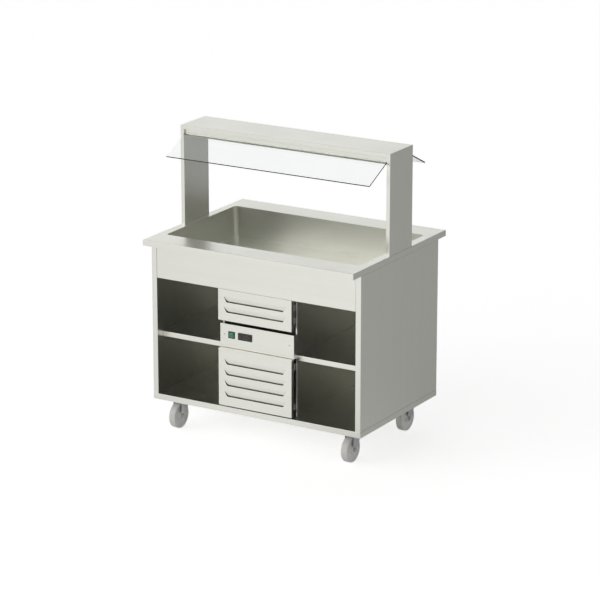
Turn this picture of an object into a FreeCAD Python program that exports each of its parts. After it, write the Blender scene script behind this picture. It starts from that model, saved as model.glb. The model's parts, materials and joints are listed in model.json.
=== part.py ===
"""Mobile salad bar: a cold well on a castored stainless body with a glazed gantry.

Millimetres. X runs left to right, Y from the control side to the back, Z up.
The origin is on the floor, below the middle of the body.
"""
import FreeCAD
import Part
import math
import os

V = FreeCAD.Vector
X_AXIS, Y_AXIS, Z_AXIS = V(1, 0, 0), V(0, 1, 0), V(0, 0, 1)

# ---- sheet metal ----
SHEET = 1.5                # steel sheet of the casings
BEND = 2.0                 # outer radius of a fold
SHARP = 0.0                # for folds that are out of sight
SEAM = 0.5                 # open joint between two neighbouring casings
TOUCH = 0.3                # seat clearance between separate pieces
RUN = 0.05                 # radial clearance of a pin in its bore

# ---- overall ----
LENGTH = 1150.0
BODY_DEPTH = 742.0
CASTOR_HEIGHT = 152.0
BODY_HEIGHT = 784.0        # base tray, side panels and aprons together
BASE_THICKNESS = 29.0
SIDE_THICKNESS = 28.0

# ---- worktop and cold well ----
TOP_OVERHANG = 74.0        # in front of the body and behind it
TOP_THICKNESS = 29.0
TOP_LIP = 18.0
WELL_END_MARGIN = 44.0     # from the body's end to the well
WELL_SIDE_MARGIN = 60.0    # from the body's face to the well
WELL_DEPTH = 153.0
WELL_CORNER = 18.0
WELL_FLANGE = 14.0
FOAM_GAP = 1.5             # between the casing and the aprons' folds
CASING_SHEET = 1.0
CASING_UPSTAND = 30.0
CASING_LEDGE = 8.0         # rests on the aprons' lower returns

# ---- evaporator ----
EVAPORATOR_INSET = 51.0    # from the well's end to the plate's end
EVAPORATOR_MARGIN = 25.0   # from the outer passages to the plate's long edges
EVAPORATOR_SHEET = 2.0
PASSAGE_PITCH = 120.0
PASSAGE_WIDTH = 12.0
PASSAGE_DEPTH = 4.0
PASSAGE_ROWS = 4
STUB_X = 30.0
STUB_DROP = 8.0            # below the casing
LINE_FLATS = 8.0           # refrigerant lines
LINE_SIDES = 8

# ---- fascia ----
APRON_HEIGHT = 173.0
PANEL_RETURN = 20.0
PANEL_LIP = 12.0
PANEL_WIDTH = 405.0
UPPER_PANEL_BOTTOM = 608.5
LOWER_PANEL_HEIGHT = 285.5
LOWER_PANEL_GAP = 4.5
CONTROL_WIDTH = 408.0
CONTROL_HEIGHT = 116.0
PARTITION_SETBACK = 48.0
PARTITION_EDGE = 6.0

# ---- louvres ----
LOUVRE_HEIGHT = 26.5
LOUVRE_TOP_WIDTH = 338.0
LOUVRE_BOTTOM_WIDTH = 312.0
LOUVRE_SET = 7.0           # how far the free edge is pressed in
LOUVRE_KERF = 1.2
LOUVRE_CORNER = 4.0        # cut off the flap's free corners
UPPER_LOUVRES = 2
UPPER_LOUVRE_START = 36.0
UPPER_LOUVRE_PITCH = 50.0
LOWER_LOUVRES = 4
LOWER_LOUVRE_START = 52.0
LOWER_LOUVRE_PITCH = 53.4

# ---- shelves ----
SHELF_TOP = 485.0
SHELF_EDGE = 26.0
SHELF_LIP = 12.0
RAIL_LEG = 20.0

# ---- brackets behind the louvred panels ----
TAB_HEIGHT = 30.0
TAB_REACH = 45.0           # from the partition's front edge to the tab's end
TAB_JOG = 12.0             # from the partition's front edge to the step
TAB_STEP = 3.0             # clears the partition's turned edge
TAB_WIDTH = 5.5
TAB_INSET = 30.0           # from a panel's end to its nearest tab
# ---- controls ----
CONTROL_Z = 536.0
SWITCH_X = -140.0
SWITCH_WIDTH = 36.0
SWITCH_HEIGHT = 34.0
SWITCH_LAP = 2.5           # the bezel's lap over the panel's cut-out
SWITCH_PROUD = 3.0
SWITCH_BODY = 26.0
SWITCH_CORNER = 1.5
ROCKER_WIDTH = 27.0
ROCKER_REACH = 13.0        # from the pivot to the rocker's ends
ROCKER_CREST = 2.0         # the rocker's middle stands out of the bezel
ROCKER_TILT = 7.0
DISPLAY_X = -65.0
DISPLAY_WIDTH = 77.0
DISPLAY_HEIGHT = 35.0
DISPLAY_LAP = 3.0
DISPLAY_PROUD = 4.0
DISPLAY_CORNER = 2.0
DISPLAY_BODY = 55.0
WINDOW_WIDTH = 36.0
WINDOW_HEIGHT = 18.0
WINDOW_THICKNESS = 1.5
KEY_WIDTH = 9.0
KEY_HEIGHT = 5.0
KEY_PROUD = 0.9
KEY_TRAVEL = 0.6
KEY_DEPTH = 2.5
KEY_PITCH = 9.0
KEY_GAP = 3.0              # between the window and the keys
SCREW_X = 179.0
SCREW_HEAD_FLATS = 7.0
SCREW_HEAD_HEIGHT = 1.6
SCREW_FLATS = 4.0
SCREW_LENGTH = 8.0

# ---- gantry ----
GANTRY_DEPTH = 215.6
GANTRY_HEIGHT = 490.0
POST_THICKNESS = 19.4
CANOPY_EDGE = 21.0
CANOPY_LIP = 30.0
RAIL_SETBACK = 10.0
RAIL_DROP = 17.0
RAIL_SHEET = 2.0
RAIL_SEAT = 14.0
RAIL_TOP = 12.0
RAIL_BEND = 1.0
GLASS_THICKNESS = 6.0
GLASS_WIDTH = 184.0
GLASS_TILT = 25.8
GLASS_END_GAP = 1.0
GLASS_EDGE = 1.0

# ---- castors ----
CASTOR_INSET_X = 95.0      # from the body's end to the swivel axis
CASTOR_INSET_Y = 107.0     # from the body's face to the swivel axis
TRAIL = 33.0
WHEEL_RADIUS = 62.5
TREAD_WIDTH = 34.0
HUB_WIDTH = 44.0
HUB_RADIUS = 20.0
AXLE_RADIUS = 5.0
AXLE_NECK = 8.0            # square through the fork's legs
AXLE_FLATS = 15.0
AXLE_HEAD = 5.5
AXLE_NUT = 6.5
PLATE_X = 85.0
PLATE_Y = 105.0
PLATE_THICKNESS = 3.0
PLATE_CORNER = 8.0
PLATE_BOLT_X = 60.0
PLATE_BOLT_Y = 80.0
BOLT_NECK = 8.0            # square, so that the bolt can't turn
BOLT_HEAD_LENGTH = 20.0
BOLT_HEAD_WIDTH = 11.0
BOLT_HEAD_HEIGHT = 4.0
NUT_FLATS = 13.0
NUT_HEIGHT = 6.5
RACE_FLATS = 54.0
RACE_SIDES = 12
RACE_DEPTH = 9.0
KING_PIN_RADIUS = 6.0
KING_HEAD_FLATS = 17.0
KING_HEAD_HEIGHT = 5.0
FORK_SHEET = 3.0
FORK_FRONT = 42.0
FORK_BACK = 31.0
FORK_BEND = 5.0
FORK_EYE = 14.0
FORK_EYE_STEPS = 6
CHANNEL_WIDTH = 100.0
CHANNEL_SHEET = 2.5

# ---- drain ----
PIPE_RADIUS = 10.65
PIPE_WALL = 2.6
SPIGOT_DROP = 65.0
VALVE_LENGTH = 46.0
VALVE_FLATS = 34.0
STEM_RADIUS = 4.0
STEM_DEPTH = 12.0          # inside the valve
BOSS_FLATS = 16.0
BOSS_SIDES = 8
BOSS_REACH = 7.0
LEVER_LENGTH = 85.0
LEVER_WIDTH = 16.0
LEVER_THICKNESS = 3.0
LEVER_CORNER = 4.0
LOCKNUT_FLATS = 32.0
LOCKNUT_HEIGHT = 6.0
DRAIN_TAIL = 40.0          # below the base

# ---- condensing unit ----
UNIT_WIDTH = 360.0
UNIT_FRONT = 230.0
UNIT_BACK = 290.0
UNIT_UPSTAND = 20.0
UNIT_SHEET = 2.0
CONDENSER_WIDTH = 300.0
CONDENSER_HEIGHT = 220.0
CONDENSER_DEPTH = 44.0
FIN_PITCH = 18.0
FIN_GAP = 6.0
FIN_CUT = 5.0
SHROUD_HEIGHT = 190.0
SHROUD_DEPTH = 40.0
FAN_RADIUS = 80.0
FAN_TIP_GAP = 6.0
FAN_HUB_FLATS = 50.0
FAN_HUB_LENGTH = 24.0
FAN_BLADES = 5
FAN_PITCH_ANGLE = 28.0
FAN_ROOT_CHORD = 32.0
FAN_TIP_CHORD = 46.0
FAN_BLADE_THICKNESS = 1.5
MOTOR_SIZE = 60.0
MOTOR_LENGTH = 48.0
MOTOR_GAP = 8.0
SHAFT_RADIUS = 3.0
SHAFT_DEPTH = 40.0
BRACKET_WIDTH = 50.0
BRACKET_FOOT = 25.0
BRACKET_SHEET = 3.0
COMPRESSOR_RADIUS = 80.0
COMPRESSOR_HEIGHT = 230.0
COMPRESSOR_PLATE_X = 190.0
COMPRESSOR_PLATE_Y = 150.0
FOOT_HEIGHT = 14.0
FOOT_SIZE = 20.0
FOOT_INSET = 4.0
DRIER_RISE = 60.0
DRIER_FLATS = 20.0
DRIER_LENGTH = 110.0

# ---- cable gland ----
GLAND_X = 150.0
GLAND_Z = 208.0
GLAND_FLATS = 22.0
GLAND_COLLAR = 8.0
GLAND_CAP_FLATS = 17.0
GLAND_CAP = 10.0
GLAND_BARREL = 14.0
GLAND_NUT = 5.0
GLAND_BORE = 4.0

FULL_TURN = 360.0

# ---- places that follow from the sizes ----
HALF = LENGTH / 2
FACE = BODY_DEPTH / 2
TOP_DEPTH = BODY_DEPTH + 2 * TOP_OVERHANG
WELL_LENGTH = LENGTH - 2 * WELL_END_MARGIN
WELL_WIDTH = BODY_DEPTH - 2 * WELL_SIDE_MARGIN
EVAPORATOR_LENGTH = WELL_LENGTH - 2 * EVAPORATOR_INSET
CASTOR_X = HALF - CASTOR_INSET_X
CASTOR_Y = FACE - CASTOR_INSET_Y
BASE_TOP = CASTOR_HEIGHT + BASE_THICKNESS
BODY_TOP = CASTOR_HEIGHT + BODY_HEIGHT
WORKTOP_Z = BODY_TOP + TOP_THICKNESS
SIDE_INNER = HALF - SIDE_THICKNESS
APRON_BOTTOM = BODY_TOP - APRON_HEIGHT
WELL_FLOOR = WORKTOP_Z - WELL_DEPTH
CASING_Z = APRON_BOTTOM + SHEET + TOUCH
PARTITION_X = CONTROL_WIDTH / 2
PARTITION_FRONT = FACE - PARTITION_SETBACK
PARTITION_BACK = FACE - PANEL_RETURN - TOUCH
CONTROL_FACE = FACE - PANEL_RETURN
FOAM_FACE = CONTROL_FACE - FOAM_GAP - CASING_SHEET
LOWER_PANEL_BOTTOM = BASE_TOP + LOWER_PANEL_GAP
CONTROL_BOTTOM = LOWER_PANEL_BOTTOM + LOWER_PANEL_HEIGHT + TOUCH
UPPER_PANEL_TOP = APRON_BOTTOM - SEAM
GANTRY_TOP = WORKTOP_Z + GANTRY_HEIGHT
CANOPY_HALF = HALF - POST_THICKNESS - TOUCH
EVAPORATOR_TOP = WELL_FLOOR - SHEET - TOUCH
PASSAGE_BOTTOM = EVAPORATOR_TOP - EVAPORATOR_SHEET - PASSAGE_DEPTH
STUB_Y = (PASSAGE_ROWS - 1) * PASSAGE_PITCH / 2
STUB_BOTTOM = CASING_Z - STUB_DROP
VALVE_TOP = WELL_FLOOR - SPIGOT_DROP
VALVE_BOTTOM = VALVE_TOP - VALVE_LENGTH
VALVE_Z = VALVE_TOP - VALVE_LENGTH / 2
VALVE_FRONT = -VALVE_FLATS / 2 - BOSS_REACH
UNIT_FLOOR = BASE_TOP + UNIT_SHEET
CONDENSER_TOP = UNIT_FLOOR + CONDENSER_HEIGHT
CONDENSER_BACK = CONDENSER_DEPTH / 2 - STUB_Y
SHROUD_BACK = CONDENSER_BACK + SHROUD_DEPTH
MOTOR_BACK = SHROUD_BACK + MOTOR_GAP + MOTOR_LENGTH
FAN_Z = UNIT_FLOOR + SHROUD_HEIGHT / 2
COMPRESSOR_TOP = UNIT_FLOOR + FOOT_HEIGHT + COMPRESSOR_HEIGHT
PLATE_BOTTOM = CASTOR_HEIGHT - PLATE_THICKNESS
RACE_BOTTOM = PLATE_BOTTOM - RACE_DEPTH
CROWN_TOP = RACE_BOTTOM - TOUCH
CROWN_BOTTOM = CROWN_TOP - FORK_SHEET
FORK_INNER = HUB_WIDTH / 2 + TOUCH
FORK_OUTER = FORK_INNER + FORK_SHEET


# ---------------------------------------------------------------- helpers

def box(x0, x1, y0, y1, z0, z1):
    """A box between two opposite corners."""
    return Part.makeBox(x1 - x0, y1 - y0, z1 - z0, V(x0, y0, z0))


def cylinder(radius, start, direction, length):
    """A round bar from a point along a direction."""
    return Part.makeCylinder(radius, length, start, direction)


def outline(points):
    """A closed face through points."""
    return Part.Face(Part.makePolygon(list(points) + [points[0]]))


def picked(shape, wanted):
    """The straight edges that the test picks."""
    return [e for e in shape.Edges if len(e.Vertexes) == 2 and wanted(e)]


def fillet_edges(shape, radius, wanted):
    edges = picked(shape, wanted)
    return shape.makeFillet(radius, edges) if edges else shape


def chamfer_edges(shape, size, wanted):
    edges = picked(shape, wanted)
    return shape.makeChamfer(size, edges) if edges else shape


def is_along(edge, axis):
    """True where an edge runs along an axis."""
    run = edge.Vertexes[1].Point - edge.Vertexes[0].Point
    return run.cross(axis).Length < 1e-4 * run.Length


def rounded_block(length, width, z0, z1, radius):
    """A block about the Z axis with round vertical corners."""
    block = box(-length / 2, length / 2, -width / 2, width / 2, z0, z1)
    return fillet_edges(block, radius, lambda e: is_along(e, Z_AXIS))


def mirrored(shape):
    """The left-hand copy of a right-hand piece."""
    return shape.mirror(V(0, 0, 0), X_AXIS)


def to_back(shape):
    """The copy of a front piece on the back."""
    return shape.mirror(V(0, 0, 0), Y_AXIS)


def save(name, *solids):
    """Write one node, from one solid or from several separate ones."""
    shape = solids[0] if len(solids) == 1 else Part.makeCompound(list(solids))
    shape.exportStep("parts/" + name + ".step")


def lean_out(points, thickness):
    """Offset an open path to its left by a sheet's thickness, with mitred corners."""
    normals = []
    for (a0, b0), (a1, b1) in zip(points, points[1:]):
        run = math.hypot(a1 - a0, b1 - b0)
        normals.append((-(b1 - b0) / run, (a1 - a0) / run))
    ends = [normals[0]] + normals + [normals[-1]]
    shifted = []
    for (a, b), (n0, m0), (n1, m1) in zip(points, ends, ends[1:]):
        scale = thickness / (1 + n0 * n1 + m0 * m1)
        shifted.append((a + (n0 + n1) * scale, b + (m0 + m1) * scale))
    return shifted


def folded(points, thickness, along, start, end, bend=BEND):
    """A folded sheet: an open path, thickened to its left and extruded along an axis.

    The path's two coordinates are the other two axes, in X, Y, Z order. No bend radius leaves
    the folds sharp.
    """
    def place(a, b):
        return {"X": V(start, a, b), "Y": V(a, start, b), "Z": V(a, b, start)}[along]

    axis = {"X": X_AXIS, "Y": Y_AXIS, "Z": Z_AXIS}[along]
    inner = lean_out(points, thickness)
    sheet = outline([place(a, b) for a, b in points + inner[::-1]]).extrude(axis * (end - start))
    if not bend:
        return sheet
    corners = []
    for index in range(1, len(points) - 1):
        (a0, b0), (a1, b1), (a2, b2) = points[index - 1:index + 2]
        turns_left = (a1 - a0) * (b2 - b1) - (b1 - b0) * (a2 - a1) > 0
        corners.append(place(*(points[index] if turns_left else inner[index])))

    def is_outer_bend(edge):
        return is_along(edge, axis) and any(
            (edge.Vertexes[0].Point - corner).cross(axis).Length < 1e-3 for corner in corners)

    return fillet_edges(sheet, bend, is_outer_bend)


def tray(width, height, depth, lip=0.0, bend=BEND):
    """A folded tray about the Z axis: outer face at z = 0, flanges up to the depth.

    The lip is the width of the return at the flanges' free edge, from the outer face.
    """
    shell = box(-width / 2, width / 2, -height / 2, height / 2, 0, depth)
    shell = fillet_edges(shell, bend, lambda e: bend and e.BoundBox.ZMax < 1e-6)
    hollow_depth = depth - SHEET if lip else depth
    shell = shell.cut(box(SHEET - width / 2, width / 2 - SHEET, SHEET - height / 2, height / 2 - SHEET,
                          SHEET, hollow_depth))
    if lip:
        shell = shell.cut(box(lip - width / 2, width / 2 - lip, lip - height / 2, height / 2 - lip,
                              hollow_depth, depth))
    return shell


def placed(shape, u, v, w, origin):
    """Turn a local shape so that its axes lie along u, v and w, and move it."""
    copy = shape.copy()
    copy.Placement = FreeCAD.Placement(origin, FreeCAD.Rotation(u, v, w, "ZXY"))
    return copy


def facing_front(shape, x, y, z):
    return placed(shape, -X_AXIS, Z_AXIS, Y_AXIS, V(x, y, z))


def facing_right(shape, x, y, z):
    return placed(shape, -Y_AXIS, Z_AXIS, -X_AXIS, V(x, y, z))


def facing_up(shape, x, y, z):
    return placed(shape, X_AXIS, -Y_AXIS, -Z_AXIS, V(x, y, z))


def prism(sides, across_flats, start, direction, length):
    """A bar of many flats; one faces along Y, or along X where the bar itself runs along Y."""
    step = math.pi / sides
    radius = across_flats / 2 / math.cos(step)
    up = X_AXIS if abs(direction.y) > 0.5 else Y_AXIS
    side = up.cross(direction)
    turns = [(2 * k + 1) * step for k in range(sides)]
    corners = [start + (up * math.cos(turn) + side * math.sin(turn)) * radius for turn in turns]
    return outline(corners).extrude(direction * length)


def hexagon(across_flats, start, direction, length):
    return prism(6, across_flats, start, direction, length)


def pipe_line(start, end):
    """A refrigerant line between two points on one axis."""
    run = end - start
    return prism(LINE_SIDES, LINE_FLATS, start, run.normalize(), (end - start).Length)


# ---------------------------------------------------------------- base and castors

def castor_places():
    """Name and swivel axis of each castor."""
    for side, x in (("left", -CASTOR_X), ("right", CASTOR_X)):
        for end, y in (("front", -CASTOR_Y), ("back", CASTOR_Y)):
            yield end + "_" + side, x, y


def base_tray():
    shell = facing_up(tray(LENGTH, BODY_DEPTH, BASE_THICKNESS, PANEL_LIP), 0, 0, BASE_TOP)
    return shell.cut(cylinder(PIPE_RADIUS + TOUCH, V(0, 0, CASTOR_HEIGHT), Z_AXIS, BASE_THICKNESS))


def castor_channel(x):
    """A channel under the tray's top sheet that takes the castor bolts."""
    side = CHANNEL_WIDTH / 2
    top = BASE_TOP - SHEET
    path = [(x - side, top), (x - side, CASTOR_HEIGHT), (x + side, CASTOR_HEIGHT), (x + side, top)]
    reach = FACE - PANEL_LIP - SEAM
    channel = folded(path, CHANNEL_SHEET, "Y", -reach, reach, SHARP)
    for place in bolt_places(x):
        channel = channel.cut(bolt_neck(place, TOUCH))
    return channel


def bolt_places(x=None):
    """The castor bolts' places, at the underside of the base."""
    places = []
    for _, castor_x, castor_y in castor_places():
        if x is None or castor_x == x:
            places += [V(castor_x + dx * PLATE_BOLT_X / 2, castor_y + dy * PLATE_BOLT_Y / 2, CASTOR_HEIGHT)
                       for dx in (-1, 1) for dy in (-1, 1)]
    return places


def bolt_neck(place, clearance):
    """The square neck through plate and channel, or with a clearance the hole that takes it."""
    half = BOLT_NECK / 2 + clearance
    return box(place.x - half, place.x + half, place.y - half, place.y + half,
               PLATE_BOTTOM, CASTOR_HEIGHT + CHANNEL_SHEET)


def castor_bolt(place):
    """A T-head bolt in the channel, its square neck and its nut under the castor plate."""
    top = CASTOR_HEIGHT + CHANNEL_SHEET
    head = box(place.x - BOLT_HEAD_WIDTH / 2, place.x + BOLT_HEAD_WIDTH / 2,
               place.y - BOLT_HEAD_LENGTH / 2, place.y + BOLT_HEAD_LENGTH / 2, top, top + BOLT_HEAD_HEIGHT)
    nut = hexagon(NUT_FLATS, V(place.x, place.y, PLATE_BOTTOM), -Z_AXIS, NUT_HEIGHT)
    return bolt_neck(place, 0.0).fuse([head, nut]).removeSplitter()


def castor_plate(x, y):
    """Top plate with its raceway and king pin, all of one riveted piece."""
    plate = box(x - PLATE_X / 2, x + PLATE_X / 2, y - PLATE_Y / 2, y + PLATE_Y / 2, PLATE_BOTTOM,
                CASTOR_HEIGHT)
    plate = chamfer_edges(plate, PLATE_CORNER, lambda e: is_along(e, Z_AXIS))
    race = prism(RACE_SIDES, RACE_FLATS, V(x, y, RACE_BOTTOM), Z_AXIS, RACE_DEPTH)
    head_top = V(x, y, CROWN_BOTTOM - TOUCH)
    pin = cylinder(KING_PIN_RADIUS, head_top, Z_AXIS, RACE_BOTTOM - head_top.z)
    head = hexagon(KING_HEAD_FLATS, head_top, -Z_AXIS, KING_HEAD_HEIGHT)
    plate = plate.fuse([race, pin, head]).removeSplitter()
    holes = [bolt_neck(place, TOUCH) for place in bolt_places(x) if (place.y > 0) == (y > 0)]
    return plate.cut(holes)


def tangent_angle(point, centre, radius, side):
    """The angle at which a line from a point touches a circle, in a plane; side is 1 or -1."""
    dx, dy = point[0] - centre[0], point[1] - centre[1]
    return math.atan2(dy, dx) + side * math.acos(radius / math.hypot(dx, dy))


def fork_leg(x):
    """One leg of the fork: wide at the crown, with an eye round the axle."""
    eye = (-TRAIL, WHEEL_RADIUS)
    shoulder = CROWN_TOP - FORK_BEND - FORK_SHEET
    start = tangent_angle((-FORK_FRONT, shoulder), eye, FORK_EYE, 1)
    end = tangent_angle((FORK_BACK, shoulder), eye, FORK_EYE, -1) + 2 * math.pi
    turns = [start + (end - start) * step / FORK_EYE_STEPS for step in range(FORK_EYE_STEPS + 1)]
    corners = [(FORK_BACK, shoulder), (FORK_BACK, CROWN_TOP), (-FORK_FRONT, CROWN_TOP),
               (-FORK_FRONT, shoulder)]
    corners += [(eye[0] + FORK_EYE * math.cos(turn), eye[1] + FORK_EYE * math.sin(turn)) for turn in turns]
    leg = outline([V(x, y, z) for y, z in corners]).extrude(X_AXIS * FORK_SHEET)
    return leg.cut(axle_neck(x, x + FORK_SHEET, TOUCH))


def axle_neck(start, end, clearance):
    """The axle's square neck through a leg, or with a clearance the hole that takes it."""
    half = AXLE_NECK / 2 + clearance
    return box(start, end, -TRAIL - half, half - TRAIL, WHEEL_RADIUS - half, WHEEL_RADIUS + half)


def castor_fork(x, y):
    """Pressed fork: a crown under the raceway, and two legs that trail behind the pin."""
    crown = box(-FORK_OUTER, FORK_OUTER, -FORK_FRONT, FORK_BACK, CROWN_BOTTOM, CROWN_TOP)
    fork = crown.fuse([fork_leg(FORK_INNER), fork_leg(-FORK_OUTER)]).removeSplitter()
    fork = chamfer_edges(fork, FORK_BEND, lambda e: is_along(e, Y_AXIS)
                         and abs(e.Vertexes[0].Point.z - CROWN_TOP) < 1e-6
                         and abs(abs(e.Vertexes[0].Point.x) - FORK_OUTER) < 1e-6)
    fork = fork.cut(cylinder(KING_PIN_RADIUS + RUN, V(0, 0, CROWN_BOTTOM), Z_AXIS, FORK_SHEET))
    fork.translate(V(x, y, 0))
    return fork


def castor_axle(x, y):
    """Axle with its head on the right and its nut on the left; the wheel runs on its round part."""
    centre = V(0, -TRAIL, WHEEL_RADIUS)
    shank = cylinder(AXLE_RADIUS, centre - X_AXIS * FORK_INNER, X_AXIS, 2 * FORK_INNER)
    head = hexagon(AXLE_FLATS, centre + X_AXIS * FORK_OUTER, X_AXIS, AXLE_HEAD)
    nut = hexagon(AXLE_FLATS, centre - X_AXIS * FORK_OUTER, -X_AXIS, AXLE_NUT)
    necks = [axle_neck(-FORK_OUTER, -FORK_INNER, 0.0), axle_neck(FORK_INNER, FORK_OUTER, 0.0)]
    axle = shank.fuse([head, nut] + necks).removeSplitter()
    axle.translate(V(x, y, 0))
    return axle


def castor_wheel(x, y):
    """Moulded wheel: a tread disc with a hub that stands out on both sides."""
    profile = [(AXLE_RADIUS + RUN, HUB_WIDTH / 2), (HUB_RADIUS, HUB_WIDTH / 2),
               (HUB_RADIUS, TREAD_WIDTH / 2), (WHEEL_RADIUS, TREAD_WIDTH / 2)]
    half = [V(offset, 0, radius) for radius, offset in profile]
    other = [V(-offset, 0, radius) for radius, offset in reversed(profile)]
    wheel = outline(half + other).revolve(V(0, 0, 0), X_AXIS, FULL_TURN)
    wheel.translate(V(x, y - TRAIL, WHEEL_RADIUS))
    return wheel


# ---------------------------------------------------------------- body

def double_skin(width, height, thickness):
    """A hollow panel: an outer tray, and a liner that closes it from inside."""
    liner = box(SHEET - width / 2, width / 2 - SHEET, SHEET - height / 2, height / 2 - SHEET,
                thickness - SHEET, thickness)
    return tray(width, height, thickness), liner


def side_panel():
    height = BODY_TOP - BASE_TOP
    return [facing_right(piece, HALF, 0, BASE_TOP + height / 2)
            for piece in double_skin(BODY_DEPTH, height, SIDE_THICKNESS)]


def apron():
    width = 2 * (SIDE_INNER - SEAM)
    panel = tray(width, APRON_HEIGHT, PANEL_RETURN)
    return facing_front(panel, 0, -FACE, APRON_BOTTOM + APRON_HEIGHT / 2)


def louvre(hinge):
    """The cut and the pressed-in flap of one louvre, hinged along its top edge."""
    free = hinge - LOUVRE_HEIGHT

    def trapezium(kerf, depth):
        top, bottom = LOUVRE_TOP_WIDTH / 2 - kerf, LOUVRE_BOTTOM_WIDTH / 2 - kerf
        face = outline([V(-top, hinge, 0), V(top, hinge, 0), V(bottom, free + kerf, 0),
                        V(-bottom, free + kerf, 0)])
        return chamfer_edges(face.extrude(Z_AXIS * depth), LOUVRE_CORNER,
                             lambda e: is_along(e, Z_AXIS) and e.Vertexes[0].Point.y < hinge - 1)

    cut = trapezium(0.0, SHEET)
    profile = [V(0, hinge, 0), V(0, free, LOUVRE_SET), V(0, free, LOUVRE_SET + SHEET), V(0, hinge, SHEET)]
    leaf = outline(profile).extrude(X_AXIS * LOUVRE_TOP_WIDTH)
    leaf.translate(V(-LOUVRE_TOP_WIDTH / 2, 0, 0))
    return cut, leaf.common(trapezium(LOUVRE_KERF, LOUVRE_SET + SHEET))


def add_louvres(panel, hinges):
    """Press a row of louvres into a panel's face; hinges are heights in its own frame."""
    for hinge in hinges:
        cut, leaf = louvre(hinge)
        panel = panel.cut(cut).fuse(leaf)
    return panel.removeSplitter()


def louvred_panel(bottom, height, count, start, pitch):
    """A folded panel of the unit bay with a column of louvres."""
    panel = tray(PANEL_WIDTH, height, PANEL_RETURN, PANEL_LIP)
    hinges = [height / 2 - start - index * pitch for index in range(count)]
    return facing_front(add_louvres(panel, hinges), 0, -FACE, bottom + height / 2)


def back_panel():
    """Full-width back with vent louvres behind the condensing unit and the gland's hole."""
    bottom, top = BASE_TOP + SEAM, UPPER_PANEL_TOP
    height = top - bottom
    panel = tray(2 * (SIDE_INNER - SEAM), height, PANEL_RETURN, PANEL_LIP)
    lowest = LOWER_PANEL_BOTTOM + LOWER_PANEL_HEIGHT - LOWER_LOUVRE_START - (bottom + top) / 2
    hinges = [lowest - index * LOWER_LOUVRE_PITCH for index in range(LOWER_LOUVRES)]
    panel = to_back(facing_front(add_louvres(panel, hinges), 0, -FACE, bottom + height / 2))
    return panel.cut(hexagon(GLAND_BARREL + 2 * TOUCH, V(GLAND_X, FACE, GLAND_Z), -Y_AXIS, SHEET))


def partition():
    """Sheet wall between the unit bay and a shelf bay, with both edges turned in."""
    edge = PARTITION_X - PARTITION_EDGE
    path = [(edge, -PARTITION_FRONT), (PARTITION_X, -PARTITION_FRONT),
            (PARTITION_X, PARTITION_BACK), (edge, PARTITION_BACK)]
    return folded(path, SHEET, "Z", BASE_TOP, CASING_Z - TOUCH, SHEET)


def shelf():
    """Shelf of the right bay, with folded front and back edges."""
    low = SHELF_TOP - SHELF_EDGE
    path = [(SHELF_LIP - PARTITION_FRONT, low), (-PARTITION_FRONT, low), (-PARTITION_FRONT, SHELF_TOP),
            (PARTITION_BACK, SHELF_TOP), (PARTITION_BACK, low), (PARTITION_BACK - SHELF_LIP, low)]
    return folded([(a, b) for a, b in reversed(path)], SHEET, "X",
                  PARTITION_X + SEAM, SIDE_INNER - SEAM)


def shelf_rail_pair():
    """Angle rails under the right shelf, on the side panel and on the partition."""
    top = SHELF_TOP - SHEET
    front, back = SHELF_LIP - PARTITION_FRONT, PARTITION_BACK - SHELF_LIP
    outer_path = [(SIDE_INNER - RAIL_LEG, top), (SIDE_INNER, top), (SIDE_INNER, top - RAIL_LEG)]
    inner_path = [(PARTITION_X, top - RAIL_LEG), (PARTITION_X, top), (PARTITION_X + RAIL_LEG, top)]
    return [folded([(a, b) for a, b in reversed(path)], SHEET, "Y", front, back, SHARP)
            for path in (outer_path, inner_path)]


def panel_tab(bottom):
    """Bracket from a partition's inner face forward to a louvred panel's lip."""
    wall = PARTITION_X - SHEET
    step = PARTITION_X - PARTITION_EDGE - TAB_STEP
    front = SHEET + TOUCH - CONTROL_FACE
    jog = TAB_JOG - PARTITION_FRONT
    path = [(step + TAB_WIDTH, front), (step, front), (step, jog), (wall, jog),
            (wall, TAB_REACH - PARTITION_FRONT)]
    return folded(path, SHEET, "Z", bottom, bottom + TAB_HEIGHT, SHARP)


def panel_tabs():
    """Two brackets behind each side of each louvred panel."""
    lower_top = LOWER_PANEL_BOTTOM + LOWER_PANEL_HEIGHT
    bottoms = [LOWER_PANEL_BOTTOM + TAB_INSET, lower_top - TAB_INSET - TAB_HEIGHT,
               UPPER_PANEL_BOTTOM + TAB_INSET, UPPER_PANEL_TOP - TAB_INSET - TAB_HEIGHT]
    right = [panel_tab(bottom) for bottom in bottoms]
    return right + [mirrored(tab) for tab in right]


# ---------------------------------------------------------------- controls

def cut_out(x, width, height, lap, clearance):
    """The control panel's cut-out behind a bezel, less a clearance."""
    half_w, half_h = width / 2 - lap - clearance, height / 2 - lap - clearance
    return box(x - half_w, x + half_w, -CONTROL_FACE, SHEET - CONTROL_FACE,
               CONTROL_Z - half_h, CONTROL_Z + half_h)


def switch_hole(clearance):
    return cut_out(SWITCH_X, SWITCH_WIDTH, SWITCH_HEIGHT, SWITCH_LAP, clearance)


def display_hole(clearance):
    return cut_out(DISPLAY_X, DISPLAY_WIDTH, DISPLAY_HEIGHT, DISPLAY_LAP, clearance)


def bezel(x, width, height, proud, corner):
    """A raised frame on the control panel, still solid."""
    frame = box(x - width / 2, x + width / 2, -CONTROL_FACE - proud, -CONTROL_FACE,
                CONTROL_Z - height / 2, CONTROL_Z + height / 2)
    return chamfer_edges(frame, corner, lambda e: is_along(e, Y_AXIS))


def housing(hole, depth):
    """The block behind the control panel that fills a cut-out."""
    side = hole.BoundBox
    return box(side.XMin, side.XMax, -CONTROL_FACE, depth - CONTROL_FACE, side.ZMin, side.ZMax)


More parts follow.
